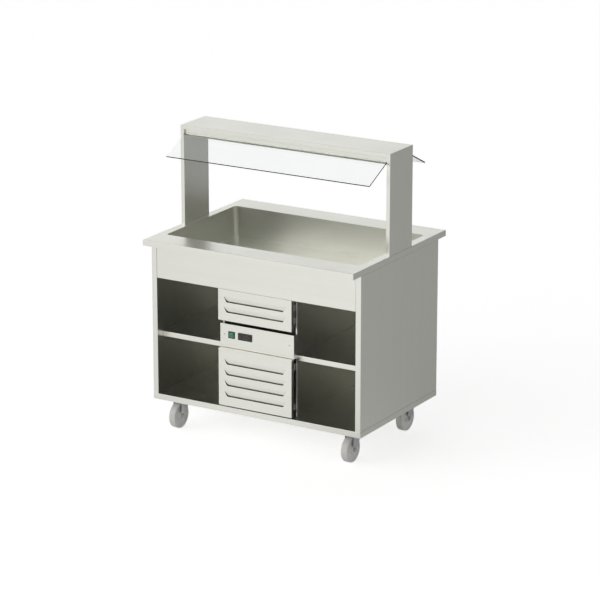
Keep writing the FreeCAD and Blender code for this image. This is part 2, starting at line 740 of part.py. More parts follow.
def control_panel():
    panel = tray(CONTROL_WIDTH, CONTROL_HEIGHT, PARTITION_SETBACK - PANEL_RETURN)
    panel = facing_front(panel, 0, -CONTROL_FACE, CONTROL_BOTTOM + CONTROL_HEIGHT / 2)
    holes = [hexagon(SCREW_FLATS + 2 * TOUCH, V(x, -CONTROL_FACE, CONTROL_Z), Y_AXIS, SHEET)
             for x in (-SCREW_X, SCREW_X)]
    return panel.cut([switch_hole(0.0), display_hole(0.0)] + holes)


def panel_screw(x):
    front = V(x, -CONTROL_FACE, CONTROL_Z)
    head = hexagon(SCREW_HEAD_FLATS, front, -Y_AXIS, SCREW_HEAD_HEIGHT)
    return head.fuse(hexagon(SCREW_FLATS, front, Y_AXIS, SCREW_LENGTH))


def switch_pivot():
    """The rocker's pivot line, on the bezel's front plane."""
    return V(SWITCH_X, -CONTROL_FACE - SWITCH_PROUD, CONTROL_Z)


def rocker_drum(clearance):
    """The drum that the rocker is cut from, or with a clearance the hollow it swings in."""
    half = ROCKER_WIDTH / 2 + clearance
    return cylinder(ROCKER_REACH + clearance, switch_pivot() - X_AXIS * half, X_AXIS, 2 * half)


def switch_bezel():
    """Bezel and housing of the rocker switch, hollow where the rocker swings."""
    frame = bezel(SWITCH_X, SWITCH_WIDTH, SWITCH_HEIGHT, SWITCH_PROUD, SWITCH_CORNER)
    body = frame.fuse(housing(switch_hole(TOUCH), SWITCH_BODY)).removeSplitter()
    return body.cut(rocker_drum(TOUCH))


def switch_rocker():
    """Rocker lens: two flats that meet at a shallow angle, pressed in at the bottom."""
    pivot = switch_pivot()
    reach = SWITCH_HEIGHT
    slope = reach * math.tan(math.radians(ROCKER_TILT))
    crest = pivot.y - ROCKER_CREST
    wedge = outline([V(0, crest, CONTROL_Z), V(0, crest + slope, CONTROL_Z + reach),
                     V(0, crest + reach, CONTROL_Z + reach), V(0, crest + reach, CONTROL_Z - reach),
                     V(0, crest + slope, CONTROL_Z - reach)])
    wedge = wedge.extrude(X_AXIS * SWITCH_WIDTH)
    wedge.translate(X_AXIS * (SWITCH_X - SWITCH_WIDTH / 2))
    rocker = rocker_drum(0.0).common(wedge)
    rocker.rotate(pivot, X_AXIS, ROCKER_TILT)
    return rocker


def key_places():
    """Name and centre of each key, left and right of the display's window."""
    offset = WINDOW_WIDTH / 2 + KEY_WIDTH / 2 + KEY_GAP
    return (("key_up", DISPLAY_X - offset, CONTROL_Z + KEY_PITCH / 2),
            ("key_down", DISPLAY_X - offset, CONTROL_Z - KEY_PITCH / 2),
            ("key_set", DISPLAY_X + offset, CONTROL_Z))


def controller_key(x, z):
    front = -CONTROL_FACE - DISPLAY_PROUD
    return box(x - KEY_WIDTH / 2, x + KEY_WIDTH / 2, front - KEY_PROUD, front + KEY_DEPTH,
               z - KEY_HEIGHT / 2, z + KEY_HEIGHT / 2)


def key_well(x, z):
    """The blind hole that a key slides in."""
    front = -CONTROL_FACE - DISPLAY_PROUD
    half_w, half_h = KEY_WIDTH / 2 + TOUCH, KEY_HEIGHT / 2 + TOUCH
    return box(x - half_w, x + half_w, front, front + KEY_DEPTH + KEY_TRAVEL + TOUCH,
               z - half_h, z + half_h)


def controller_window():
    front = -CONTROL_FACE - DISPLAY_PROUD
    return box(DISPLAY_X - WINDOW_WIDTH / 2, DISPLAY_X + WINDOW_WIDTH / 2, front, front + WINDOW_THICKNESS,
               CONTROL_Z - WINDOW_HEIGHT / 2, CONTROL_Z + WINDOW_HEIGHT / 2)


def controller_body():
    """Bezel and housing of the controller, with wells for its keys and its window."""
    frame = bezel(DISPLAY_X, DISPLAY_WIDTH, DISPLAY_HEIGHT, DISPLAY_PROUD, DISPLAY_CORNER)
    body = frame.fuse(housing(display_hole(TOUCH), DISPLAY_BODY)).removeSplitter()
    return body.cut([controller_window()] + [key_well(x, z) for _, x, z in key_places()])


# ---------------------------------------------------------------- worktop and well

def worktop():
    top = tray(LENGTH, TOP_DEPTH, TOP_THICKNESS, TOP_LIP)
    top = top.cut(rounded_block(WELL_LENGTH, WELL_WIDTH, 0, SHEET, WELL_CORNER))
    return facing_up(top, 0, 0, WORKTOP_Z)


def well_outer(clearance):
    """The basin's outer form below the worktop sheet, grown by a clearance."""
    grow = 2 * (SHEET + clearance)
    return rounded_block(WELL_LENGTH + grow, WELL_WIDTH + grow, WELL_FLOOR - SHEET - clearance,
                         WORKTOP_Z - SHEET, WELL_CORNER + SHEET + clearance)


def well_basin():
    """Drawn basin with a flange under the worktop's sheet and a welded drain spigot."""
    inner = rounded_block(WELL_LENGTH, WELL_WIDTH, WELL_FLOOR, WORKTOP_Z, WELL_CORNER)
    half_x, half_y = WELL_LENGTH / 2 + WELL_FLANGE, WELL_WIDTH / 2 + WELL_FLANGE
    flange = box(-half_x, half_x, -half_y, half_y, WORKTOP_Z - 2 * SHEET, WORKTOP_Z - SHEET)
    flange = chamfer_edges(flange, WELL_CORNER, lambda e: is_along(e, Z_AXIS))
    spigot = cylinder(PIPE_RADIUS, V(0, 0, VALVE_TOP), Z_AXIS, SPIGOT_DROP - SHEET / 2)
    bore = cylinder(PIPE_RADIUS - PIPE_WALL, V(0, 0, VALVE_TOP), Z_AXIS, SPIGOT_DROP)
    return well_outer(0.0).fuse([flange, spigot]).cut([inner, bore]).removeSplitter()


def passage_rows():
    """Where the evaporator's straight passages lie, from the back to the front."""
    return [STUB_Y - row * PASSAGE_PITCH for row in range(PASSAGE_ROWS)]


def evaporator():
    """Roll-bonded plate with one raised passage to and fro, and the two pipe stubs."""
    top = EVAPORATOR_TOP - EVAPORATOR_SHEET
    turn = EVAPORATOR_LENGTH / 2 - EVAPORATOR_MARGIN
    wide = STUB_Y + EVAPORATOR_MARGIN
    half = PASSAGE_WIDTH / 2
    rows = passage_rows()
    pieces = [box(-turn, turn, y - half, y + half, PASSAGE_BOTTOM, top) for y in rows]
    for row, (back, front) in enumerate(zip(rows, rows[1:])):
        x = -turn if row % 2 else turn - PASSAGE_WIDTH
        pieces.append(box(x, x + PASSAGE_WIDTH, front, back, PASSAGE_BOTTOM, top))
    pieces += [pipe_line(V(STUB_X, y, STUB_BOTTOM), V(STUB_X, y, PASSAGE_BOTTOM))
               for y in (-STUB_Y, STUB_Y)]
    plate = box(-EVAPORATOR_LENGTH / 2, EVAPORATOR_LENGTH / 2, -wide, wide, top, EVAPORATOR_TOP)
    return plate.fuse(pieces).removeSplitter().cut(pipe_slots(top, EVAPORATOR_TOP)[0])


def pipe_slots(bottom, top):
    """Square passages for the drain and for the evaporator's two stubs."""
    drain, stub = PIPE_RADIUS + TOUCH, LINE_FLATS / 2 + TOUCH
    return [box(x - half, x + half, y - half, y + half, bottom, top)
            for x, y, half in ((0, 0, drain), (STUB_X, -STUB_Y, stub), (STUB_X, STUB_Y, stub))]


def well_insulation():
    """Foam jacket round and below the basin, with a pocket for the evaporator."""
    side = SIDE_INNER - SEAM - CASING_SHEET
    foam = box(-side, side, -FOAM_FACE, FOAM_FACE, CASING_Z + CASING_SHEET, WORKTOP_Z - 2 * SHEET - TOUCH)
    reach = EVAPORATOR_LENGTH / 2 + TOUCH
    wide = STUB_Y + EVAPORATOR_MARGIN + TOUCH
    pocket = box(-reach, reach, -wide, wide, PASSAGE_BOTTOM - TOUCH, WELL_FLOOR)
    return foam.cut([well_outer(TOUCH), pocket] + pipe_slots(CASING_Z, WELL_FLOOR))


def well_casing():
    """Shallow tray that closes the foam from below, resting on the aprons' returns."""
    wall = FOAM_FACE + CASING_SHEET
    side = SIDE_INNER - SEAM
    floor = CASING_Z + CASING_SHEET
    casing = box(-side, side, -wall, wall, CASING_Z, CASING_Z + CASING_UPSTAND)
    hollow = box(CASING_SHEET - side, side - CASING_SHEET, CASING_SHEET - wall, wall - CASING_SHEET,
                 floor, CASING_Z + CASING_UPSTAND)
    inside = side - SHEET - TOUCH
    ledge = box(-inside, inside, -wall - CASING_LEDGE, wall + CASING_LEDGE, CASING_Z, floor)
    return casing.cut(hollow).fuse(ledge).removeSplitter().cut(pipe_slots(CASING_Z, floor))


def drain_valve_body():
    """Ball valve under the spigot, with the stem's boss towards the front."""
    body = hexagon(VALVE_FLATS, V(0, 0, VALVE_BOTTOM), Z_AXIS, VALVE_LENGTH)
    boss = prism(BOSS_SIDES, BOSS_FLATS, V(0, 0, VALVE_Z), -Y_AXIS, -VALVE_FRONT)
    bore = cylinder(STEM_RADIUS + RUN, V(0, VALVE_FRONT + STEM_DEPTH, VALVE_Z), -Y_AXIS, STEM_DEPTH)
    return body.fuse(boss).removeSplitter().cut(bore)


def drain_valve_lever():
    """Stem and flat lever, shown shut: across the pipe, towards the left."""
    face = VALVE_FRONT - TOUCH
    stem = cylinder(STEM_RADIUS, V(0, face + STEM_DEPTH, VALVE_Z), -Y_AXIS, STEM_DEPTH)
    arm = box(-LEVER_LENGTH, LEVER_WIDTH / 2, face - LEVER_THICKNESS, face,
              VALVE_Z - LEVER_WIDTH / 2, VALVE_Z + LEVER_WIDTH / 2)
    arm = chamfer_edges(arm, LEVER_CORNER, lambda e: is_along(e, Y_AXIS))
    return stem.fuse(arm).removeSplitter()


def drain_pipe():
    """Straight down through the base, held by a lock nut under its top sheet."""
    outlet = V(0, 0, CASTOR_HEIGHT - DRAIN_TAIL)
    length = VALVE_BOTTOM - outlet.z
    nut_top = V(0, 0, BASE_TOP - SHEET - TOUCH)
    pipe = cylinder(PIPE_RADIUS, outlet, Z_AXIS, length)
    pipe = pipe.fuse(hexagon(LOCKNUT_FLATS, nut_top, -Z_AXIS, LOCKNUT_HEIGHT)).removeSplitter()
    return pipe.cut(cylinder(PIPE_RADIUS - PIPE_WALL, outlet, Z_AXIS, length))


# ---------------------------------------------------------------- condensing unit

def unit_tray():
    side = UNIT_WIDTH / 2
    path = [(-side, BASE_TOP + UNIT_UPSTAND), (-side, BASE_TOP), (side, BASE_TOP),
            (side, BASE_TOP + UNIT_UPSTAND)]
    base = folded(path, UNIT_SHEET, "Y", -UNIT_FRONT, UNIT_BACK, SHARP)
    return base.cut(pipe_slots(BASE_TOP, UNIT_FLOOR)[0])


def condenser():
    """Finned block; the fins are cut as a row of grooves in its front."""
    half = CONDENSER_WIDTH / 2
    front = CONDENSER_BACK - CONDENSER_DEPTH
    block = box(-half, half, front, CONDENSER_BACK, UNIT_FLOOR, CONDENSER_TOP)
    count = int((CONDENSER_WIDTH - FIN_PITCH) / FIN_PITCH)
    first = -(count - 1) * FIN_PITCH / 2 - FIN_GAP / 2
    grooves = [box(first + index * FIN_PITCH, first + index * FIN_PITCH + FIN_GAP, front, front + FIN_CUT,
                   UNIT_FLOOR + FIN_GAP, CONDENSER_TOP - FIN_GAP) for index in range(count)]
    return block.cut(grooves)


def fan_shroud():
    """Shroud behind the condenser with the fan's opening."""
    shell = tray(CONDENSER_WIDTH, SHROUD_HEIGHT, SHROUD_DEPTH, bend=SHARP)
    opening = Part.makeCylinder(FAN_RADIUS + FAN_TIP_GAP, SHEET)
    return to_back(facing_front(shell.cut(opening), 0, -SHROUD_BACK, FAN_Z))


def motor_bracket():
    """Angle that carries the fan motor from the unit tray."""
    path = [(MOTOR_BACK, FAN_Z + MOTOR_SIZE / 2), (MOTOR_BACK, UNIT_FLOOR),
            (MOTOR_BACK + BRACKET_FOOT, UNIT_FLOOR)]
    return folded(path, BRACKET_SHEET, "X", -BRACKET_WIDTH / 2, BRACKET_WIDTH / 2, SHARP)


def fan_motor():
    front, half = MOTOR_BACK - MOTOR_LENGTH, MOTOR_SIZE / 2
    body = box(-half, half, front, MOTOR_BACK, FAN_Z - half, FAN_Z + half)
    return body.cut(cylinder(SHAFT_RADIUS + RUN, V(0, front, FAN_Z), Y_AXIS, SHAFT_DEPTH))


def fan_blade(turn):
    """One blade: a flat trapezium, pitched about its own length and turned into place."""
    root, tip = FAN_ROOT_CHORD / 2, FAN_TIP_CHORD / 2
    inside = math.sqrt((FAN_HUB_FLATS / 2) ** 2 - root ** 2)
    outside = math.sqrt(FAN_RADIUS ** 2 - tip ** 2)
    blade = outline([V(-root, 0, inside), V(root, 0, inside), V(tip, 0, outside), V(-tip, 0, outside)])
    blade = blade.extrude(Y_AXIS * FAN_BLADE_THICKNESS)
    blade.rotate(V(0, 0, 0), Z_AXIS, FAN_PITCH_ANGLE)
    blade.rotate(V(0, 0, 0), Y_AXIS, turn)
    blade.translate(V(0, SHROUD_BACK - FAN_HUB_LENGTH / 2, FAN_Z))
    return blade


def fan_rotor():
    """Hub, pitched blades and the shaft that runs in the motor."""
    hub_front = V(0, SHROUD_BACK - FAN_HUB_LENGTH, FAN_Z)
    hub = prism(2 * FAN_BLADES, FAN_HUB_FLATS, hub_front, Y_AXIS, FAN_HUB_LENGTH)
    shaft = cylinder(SHAFT_RADIUS, V(0, SHROUD_BACK, FAN_Z), Y_AXIS, MOTOR_GAP + SHAFT_DEPTH - TOUCH)
    blades = [fan_blade(FULL_TURN * index / FAN_BLADES) for index in range(FAN_BLADES)]
    return hub.fuse(blades + [shaft]).removeSplitter()


def compressor():
    """Hermetic shell on a foot plate; the rubber feet are separate solids."""
    plate_z = UNIT_FLOOR + FOOT_HEIGHT
    half_x, half_y = COMPRESSOR_PLATE_X / 2, COMPRESSOR_PLATE_Y / 2
    shell = cylinder(COMPRESSOR_RADIUS, V(0, 0, plate_z), Z_AXIS, COMPRESSOR_HEIGHT)
    shell = shell.fuse(box(-half_x, half_x, -half_y, half_y, plate_z, plate_z + UNIT_SHEET))
    x, y = half_x - FOOT_INSET - FOOT_SIZE, half_y - FOOT_INSET - FOOT_SIZE
    feet = [box(x0, x0 + FOOT_SIZE, y0, y0 + FOOT_SIZE, UNIT_FLOOR, plate_z)
            for x0 in (-x - FOOT_SIZE, x) for y0 in (-y - FOOT_SIZE, y)]
    return [piece.translated(V(0, STUB_Y, 0)) for piece in [shell.removeSplitter()] + feet]


def refrigerant_pipes():
    """Straight lines from the compressor to the condenser and the evaporator, with the filter drier."""
    drier = V(STUB_X, -STUB_Y, CONDENSER_TOP + DRIER_RISE)
    drier_top = drier + Z_AXIS * DRIER_LENGTH
    discharge_z = (CONDENSER_TOP + UNIT_FLOOR + SHROUD_HEIGHT) / 2
    discharge = pipe_line(V(STUB_X, CONDENSER_BACK, discharge_z), V(STUB_X, STUB_Y, discharge_z))
    shell = cylinder(COMPRESSOR_RADIUS + TOUCH, V(0, STUB_Y, UNIT_FLOOR), Z_AXIS, COMPRESSOR_HEIGHT)
    return (discharge.cut(shell),
            pipe_line(V(STUB_X, STUB_Y, COMPRESSOR_TOP), V(STUB_X, STUB_Y, STUB_BOTTOM)),
            pipe_line(V(STUB_X, -STUB_Y, CONDENSER_TOP), drier),
            prism(LINE_SIDES, DRIER_FLATS, drier, Z_AXIS, DRIER_LENGTH),
            pipe_line(drier_top, V(STUB_X, -STUB_Y, STUB_BOTTOM)))


def cable_gland():
    """Gland for the mains lead, low on the back, clamped on the sheet by its nut."""
    outer = V(GLAND_X, FACE, GLAND_Z)
    inner = outer - Y_AXIS * SHEET
    collar = hexagon(GLAND_FLATS, outer, Y_AXIS, GLAND_COLLAR)
    cap = hexagon(GLAND_CAP_FLATS, outer + Y_AXIS * GLAND_COLLAR, Y_AXIS, GLAND_CAP)
    barrel = hexagon(GLAND_BARREL, inner, Y_AXIS, SHEET)
    nut = hexagon(GLAND_FLATS, inner, -Y_AXIS, GLAND_NUT)
    bore = cylinder(GLAND_BORE, inner - Y_AXIS * GLAND_NUT, Y_AXIS,
                    GLAND_NUT + SHEET + GLAND_COLLAR + GLAND_CAP)
    return collar.fuse([cap, barrel, nut]).removeSplitter().cut(bore)


# ---------------------------------------------------------------- gantry

def post():
    height = GANTRY_HEIGHT
    return [facing_right(piece, HALF, 0, WORKTOP_Z + height / 2)
            for piece in double_skin(GANTRY_DEPTH, height, POST_THICKNESS)]


def canopy():
    """Folded cover between the posts, and the flat soffit that rests on its returns."""
    edge, low = GANTRY_DEPTH / 2, GANTRY_TOP - CANOPY_EDGE
    path = [(edge - CANOPY_LIP, low), (edge, low), (edge, GANTRY_TOP), (-edge, GANTRY_TOP), (-edge, low),
            (CANOPY_LIP - edge, low)]
    cover = folded(path, SHEET, "X", -CANOPY_HALF, CANOPY_HALF)
    inside = edge - SHEET - TOUCH
    soffit = box(-CANOPY_HALF, CANOPY_HALF, -inside, inside, low + SHEET, low + 2 * SHEET)
    return cover, soffit


def glass_corner():
    """The lower top corner of the front pane, just in front of the rail's web."""
    return V(0, RAIL_SETBACK - GANTRY_DEPTH / 2 - TOUCH,
             GANTRY_TOP - CANOPY_EDGE - RAIL_DROP - GLASS_THICKNESS)


def glass_rail():
    """Front rail: hung from the canopy's return, with a sloping seat below the pane."""
    tilt = math.radians(GLASS_TILT)
    low = GANTRY_TOP - CANOPY_EDGE
    web = RAIL_SETBACK - GANTRY_DEPTH / 2
    seat = glass_corner().z - TOUCH / math.cos(tilt)
    end = (web - RAIL_SEAT * math.cos(tilt), seat - RAIL_SEAT * math.sin(tilt))
    path = [(web + RAIL_TOP, low), (web, low), (web, seat), end]
    return folded(path, RAIL_SHEET, "X", -CANOPY_HALF, CANOPY_HALF, RAIL_BEND)


def glass_pane():
    """Front pane, sloping down and out from the rail."""
    pane = box(GLASS_END_GAP - CANOPY_HALF, CANOPY_HALF - GLASS_END_GAP, -GLASS_WIDTH, 0, 0, GLASS_THICKNESS)
    pane = fillet_edges(pane, GLASS_EDGE, lambda e: is_along(e, X_AXIS) and e.Vertexes[0].Point.y < -1)
    pane.rotate(V(0, 0, 0), X_AXIS, GLASS_TILT)
    pane.translate(glass_corner())
    return pane


# ---------------------------------------------------------------- the part

def build_base():
    save("base_tray", base_tray())
    save("castor_channels", castor_channel(-CASTOR_X), castor_channel(CASTOR_X))
    places = list(castor_places())
    save("castor_plates", *[castor_plate(x, y) for _, x, y in places])
    save("castor_bolts", *[castor_bolt(place) for place in bolt_places()])
    for name, x, y in places:
        save("castor_fork_" + name, castor_fork(x, y))
        save("castor_axle_" + name, castor_axle(x, y))
        save("castor_wheel_" + name, castor_wheel(x, y))


def build_body():
    right = side_panel()
    save("side_panel_right", *right)
    save("side_panel_left", *[mirrored(piece) for piece in right])
    save("front_apron", apron())
    save("rear_apron", to_back(apron()))
    save("back_panel", back_panel())
    save("partition_right", partition())
    save("partition_left", mirrored(partition()))
    save("shelf_right", shelf())
    save("shelf_left", mirrored(shelf()))
    rails = shelf_rail_pair()
    save("shelf_rails", *(rails + [mirrored(rail) for rail in rails]))
    save("louvred_panel_upper", louvred_panel(UPPER_PANEL_BOTTOM, UPPER_PANEL_TOP - UPPER_PANEL_BOTTOM,
                                              UPPER_LOUVRES, UPPER_LOUVRE_START, UPPER_LOUVRE_PITCH))
    save("louvred_panel_lower", louvred_panel(LOWER_PANEL_BOTTOM, LOWER_PANEL_HEIGHT,
                                              LOWER_LOUVRES, LOWER_LOUVRE_START, LOWER_LOUVRE_PITCH))
    save("panel_brackets", *panel_tabs())


def build_controls():
    save("control_panel", control_panel())
    save("panel_screws", panel_screw(-SCREW_X), panel_screw(SCREW_X))
    save("switch_bezel", switch_bezel())
    save("switch_rocker", switch_rocker())
    save("controller_body", controller_body())
    save("controller_window", controller_window())
    for name, x, z in key_places():
        save(name, controller_key(x, z))


def build_well():
    save("worktop", worktop())
    save("well_basin", well_basin())
    save("evaporator", evaporator())
    save("well_insulation", well_insulation())
    save("well_casing", well_casing())
    save("drain_valve_body", drain_valve_body())
    save("drain_valve_lever", drain_valve_lever())
    save("drain_pipe", drain_pipe())


def build_unit():
    save("unit_tray", unit_tray())
    save("condenser", condenser())
    save("fan_shroud", fan_shroud(), motor_bracket())
    save("fan_motor", fan_motor())
    save("fan_rotor", fan_rotor())
    save("compressor", *compressor())
    save("refrigerant_pipes", *refrigerant_pipes())
    save("cable_gland", cable_gland())


def build_gantry():
    right = post()
    save("post_right", *right)
    save("post_left", *[mirrored(piece) for piece in right])
    save("canopy", *canopy())
    save("glass_rails", glass_rail(), to_back(glass_rail()))
    save("glass_front", glass_pane())
    save("glass_back", to_back(glass_pane()))


os.makedirs("parts", exist_ok=True)
build_base()
build_body()
build_controls()
build_well()
build_unit()
build_gantry()
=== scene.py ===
"""Mobile salad bar: the looks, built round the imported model.

Metres, in the model's own frame: X runs left to right, Y from the control side to the back,
Z up. The origin is on the floor, below the middle of the body.
"""
import json
import logging
import math
from dataclasses import dataclass, field
from enum import Enum
from typing import Callable, Dict, Iterable, List, Optional, Sequence, Tuple

import bmesh
import bpy
from mathutils import Matrix, Quaternion, Vector

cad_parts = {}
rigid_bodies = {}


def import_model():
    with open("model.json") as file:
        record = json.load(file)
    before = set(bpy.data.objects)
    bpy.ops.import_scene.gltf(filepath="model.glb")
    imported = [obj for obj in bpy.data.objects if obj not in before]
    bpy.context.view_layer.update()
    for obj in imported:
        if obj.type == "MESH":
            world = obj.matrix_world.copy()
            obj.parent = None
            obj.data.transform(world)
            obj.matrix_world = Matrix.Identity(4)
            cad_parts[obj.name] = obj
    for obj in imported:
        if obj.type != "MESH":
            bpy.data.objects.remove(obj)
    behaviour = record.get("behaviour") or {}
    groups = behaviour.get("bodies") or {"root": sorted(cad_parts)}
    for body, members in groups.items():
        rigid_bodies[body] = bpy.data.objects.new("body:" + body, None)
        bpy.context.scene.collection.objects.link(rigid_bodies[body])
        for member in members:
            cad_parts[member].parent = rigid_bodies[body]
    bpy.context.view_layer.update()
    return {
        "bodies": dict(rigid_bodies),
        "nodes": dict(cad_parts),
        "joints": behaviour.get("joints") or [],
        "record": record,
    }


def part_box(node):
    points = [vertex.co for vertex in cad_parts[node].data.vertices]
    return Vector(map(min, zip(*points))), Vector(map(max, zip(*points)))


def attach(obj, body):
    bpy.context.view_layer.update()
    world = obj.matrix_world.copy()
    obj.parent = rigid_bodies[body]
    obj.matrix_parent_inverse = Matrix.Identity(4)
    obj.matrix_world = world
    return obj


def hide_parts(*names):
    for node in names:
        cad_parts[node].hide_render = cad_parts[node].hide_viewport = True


LOG = logging.getLogger("salad_bar")

Triple = Tuple[float, float, float]
Colour = Tuple[float, float, float]
Socket = bpy.types.NodeSocket
Test = Callable[[Vector, Vector], bool]

MM = 0.001
MERGE = 0.000001

# how far a normal follows an axis, or leaves it, for a face to look along it or stand round it
FACING = 0.99
SQUARE = 0.1

# millimetres: two places that count as one, a sheet that is measured roughly, and a long edge
NEAR = 0.01
LOOSE = 0.5
LONG = 20.0

# sides of a ring and of its section
RING_SIDES = 36
RING_SECTION_SIDES = 10

# degrees: faces that count as one, and edges that are still shaded smooth
FLAT_ANGLE = 0.5
SMOOTH_ANGLE = 32.0


class Grain(Enum):
    """The way in which a sheet's brushing runs."""

    ALONG_X = (0.02, 1.0, 1.0)
    ALONG_Y = (1.0, 0.02, 1.0)
    ALONG_Z = (1.0, 1.0, 0.02)


class Along(Enum):
    """An axis of the model's frame."""

    X = 0
    Y = 1
    Z = 2

    @property
    def vector(self) -> Vector:
        """The axis as a unit vector."""
        return Vector([float(index == self.value) for index in range(3)])


# ---------------------------------------------------------------- node trees

class Graph:
    """A node tree that is being drawn up, for a material or for a shared effect."""

    def __init__(self, tree: bpy.types.NodeTree) -> None:
        """Start on an empty tree.

        Args:
            tree: The tree to fill. What it holds is cleared first.
        """
        self.tree = tree
        tree.nodes.clear()

    def add(self, kind: str, inputs: Optional[dict] = None, **settings: object) -> bpy.types.Node:
        """Add a node.

        Args:
            kind: The node's type name.
            inputs: Socket name or index to a value, or to the socket that feeds it.
            settings: The node's own properties.

        Returns:
            The new node.
        """
        node = self.tree.nodes.new(kind)
        for key, value in settings.items():
            setattr(node, key, value)
        for key, value in (inputs or {}).items():
            self.feed(node, key, value)
        return node

    def feed(self, node: bpy.types.Node, key: object, value: object) -> None:
        """Give one of a node's inputs a value, or link the socket that feeds it."""
        if isinstance(value, bpy.types.NodeSocket):
            self.tree.links.new(value, node.inputs[key])
        else:
            node.inputs[key].default_value = value

    def math(self, operation: str, first: object, second: object = 0.0) -> Socket:
        """Add a Math node and return its result."""
        return self.add("ShaderNodeMath", {0: first, 1: second}, operation=operation).outputs[0]

    def ramp(self, value: Socket, low: float, high: float, out_low: float, out_high: float) -> Socket:
        """Map a value from one range to another, held at both ends."""
        node = self.add("ShaderNodeMapRange", {"Value": value, "From Min": low, "From Max": high,
                                               "To Min": out_low, "To Max": out_high})
        return node.outputs[0]

    def blend(self, factor: object, first: object, second: object) -> Socket:
        """Mix two colours and return the result."""
        node = self.add("ShaderNodeMix", data_type="RGBA")
        for index, value in ((0, factor), (6, first), (7, second)):
            self.feed(node, index, value)
        return node.outputs[2]


def rgba(colour: Colour, scale: float = 1.0) -> Tuple[float, float, float, float]:
    """A colour with its alpha, brightened or darkened."""
    return (min(1.0, colour[0] * scale), min(1.0, colour[1] * scale), min(1.0, colour[2] * scale), 1.0)


class Effects:
    """The shared effects, each a node group that is built once."""

    _built: Dict[str, bpy.types.NodeTree] = {}

    @classmethod
    def group(cls, name: str, inputs: Sequence[Tuple[str, str, object]],
              outputs: Sequence[Tuple[str, str]], draw: Callable[[Graph, bpy.types.Node], dict]
              ) -> bpy.types.NodeTree:
        """Build a node group, or return the one that is there.

        Args:
            name: The group's name.
            inputs: Name, socket type and default of each input.
            outputs: Name and socket type of each output.
            draw: Adds the nodes and returns the socket for each output's name.

        Returns:
            The node group.
        """
        if name in cls._built:
            return cls._built[name]
        tree = bpy.data.node_groups.new(name, "ShaderNodeTree")
        graph = Graph(tree)
        for title, kind, default in inputs:
            socket = tree.interface.new_socket(title, in_out="INPUT", socket_type=kind)
            socket.default_value = default
        for title, kind in outputs:
            tree.interface.new_socket(title, in_out="OUTPUT", socket_type=kind)
        results = draw(graph, graph.add("NodeGroupInput"))
        graph.add("NodeGroupOutput", results)
        cls._built[name] = tree
        return tree

    @classmethod
    def grain(cls) -> bpy.types.NodeTree:
        """Brushing: fine streaks and broad bands that run one way."""

        def draw(graph: Graph, given: bpy.types.Node) -> dict:
            place = graph.add("ShaderNodeTexCoord").outputs["Object"]
            drawn = graph.add("ShaderNodeVectorMath", {0: place, 1: given.outputs["Stretch"]},
                              operation="MULTIPLY").outputs[0]
            fine = graph.add("ShaderNodeTexNoise", {"Vector": drawn, "Scale": given.outputs["Density"],
                                                    "Detail": 4.0, "Roughness": 0.65})
            broad_scale = graph.math("MULTIPLY", given.outputs["Density"], 0.03)
            broad = graph.add("ShaderNodeTexNoise", {"Vector": drawn, "Scale": broad_scale,
                                                     "Detail": 2.0, "Roughness": 0.5})
            return {"Fine": fine.outputs[0], "Broad": broad.outputs[0]}

        return cls.group("brushed_grain",
                         [("Stretch", "NodeSocketVector", (1.0, 1.0, 0.02)),
                          ("Density", "NodeSocketFloat", 1400.0)],
                         [("Fine", "NodeSocketFloat"), ("Broad", "NodeSocketFloat")], draw)

    @classmethod
    def cloud(cls) -> bpy.types.NodeTree:
        """Soft clouds, for handling marks and uneven colour."""

        def draw(graph: Graph, given: bpy.types.Node) -> dict:
            place = graph.add("ShaderNodeTexCoord").outputs["Object"]
            noise = graph.add("ShaderNodeTexNoise", {"Vector": place, "Scale": given.outputs["Scale"],
                                                     "Detail": 3.0, "Roughness": 0.55,
                                                     "Distortion": 0.4})
            return {"Value": graph.ramp(noise.outputs[0], 0.3, 0.7, 0.0, 1.0)}

        return cls.group("soft_cloud", [("Scale", "NodeSocketFloat", 6.0)],
                         [("Value", "NodeSocketFloat")], draw)

    @classmethod
    def edges(cls) -> bpy.types.NodeTree:
        """Rounded edges: a mask that is 1 on an edge, and the rounded normal."""

        def draw(graph: Graph, given: bpy.types.Node) -> dict:
            rounded = graph.add("ShaderNodeBevel", {"Radius": given.outputs["Radius"]}, samples=4)
            flat = graph.add("ShaderNodeNewGeometry").outputs["Normal"]
            same = graph.add("ShaderNodeVectorMath", {0: rounded.outputs[0], 1: flat},
                             operation="DOT_PRODUCT").outputs["Value"]
            return {"Mask": graph.ramp(same, 0.995, 0.8, 0.0, 1.0), "Normal": rounded.outputs[0]}

        return cls.group("soft_edges", [("Radius", "NodeSocketFloat", 0.0006)],
                         [("Mask", "NodeSocketFloat"), ("Normal", "NodeSocketVector")], draw)

    @classmethod
    def dust(cls) -> bpy.types.NodeTree:
        """Dust that settles on what faces up, in patches."""

        def draw(graph: Graph, given: bpy.types.Node) -> dict:
            normal = graph.add("ShaderNodeNewGeometry").outputs["Normal"]
            up = graph.add("ShaderNodeSeparateXYZ", {0: normal}).outputs["Z"]
            place = graph.add("ShaderNodeTexCoord").outputs["Object"]
            patch = graph.add("ShaderNodeTexNoise", {"Vector": place, "Scale": 38.0, "Detail": 5.0,
                                                     "Roughness": 0.7}).outputs[0]
            lying = graph.ramp(up, 0.2, 0.95, 0.0, 1.0)
            spread = graph.math("MULTIPLY", lying, graph.ramp(patch, 0.35, 0.7, 0.2, 1.0))
            return {"Mask": graph.math("MULTIPLY", spread, given.outputs["Amount"])}

        return cls.group("settled_dust", [("Amount", "NodeSocketFloat", 0.2)],
                         [("Mask", "NodeSocketFloat")], draw)


def started(name: str) -> Tuple[bpy.types.Material, Graph]:
    """A new material with an empty tree, and the tree to draw."""
    material = bpy.data.materials.new(name)
    material.use_nodes = True
    return material, Graph(material.node_tree)


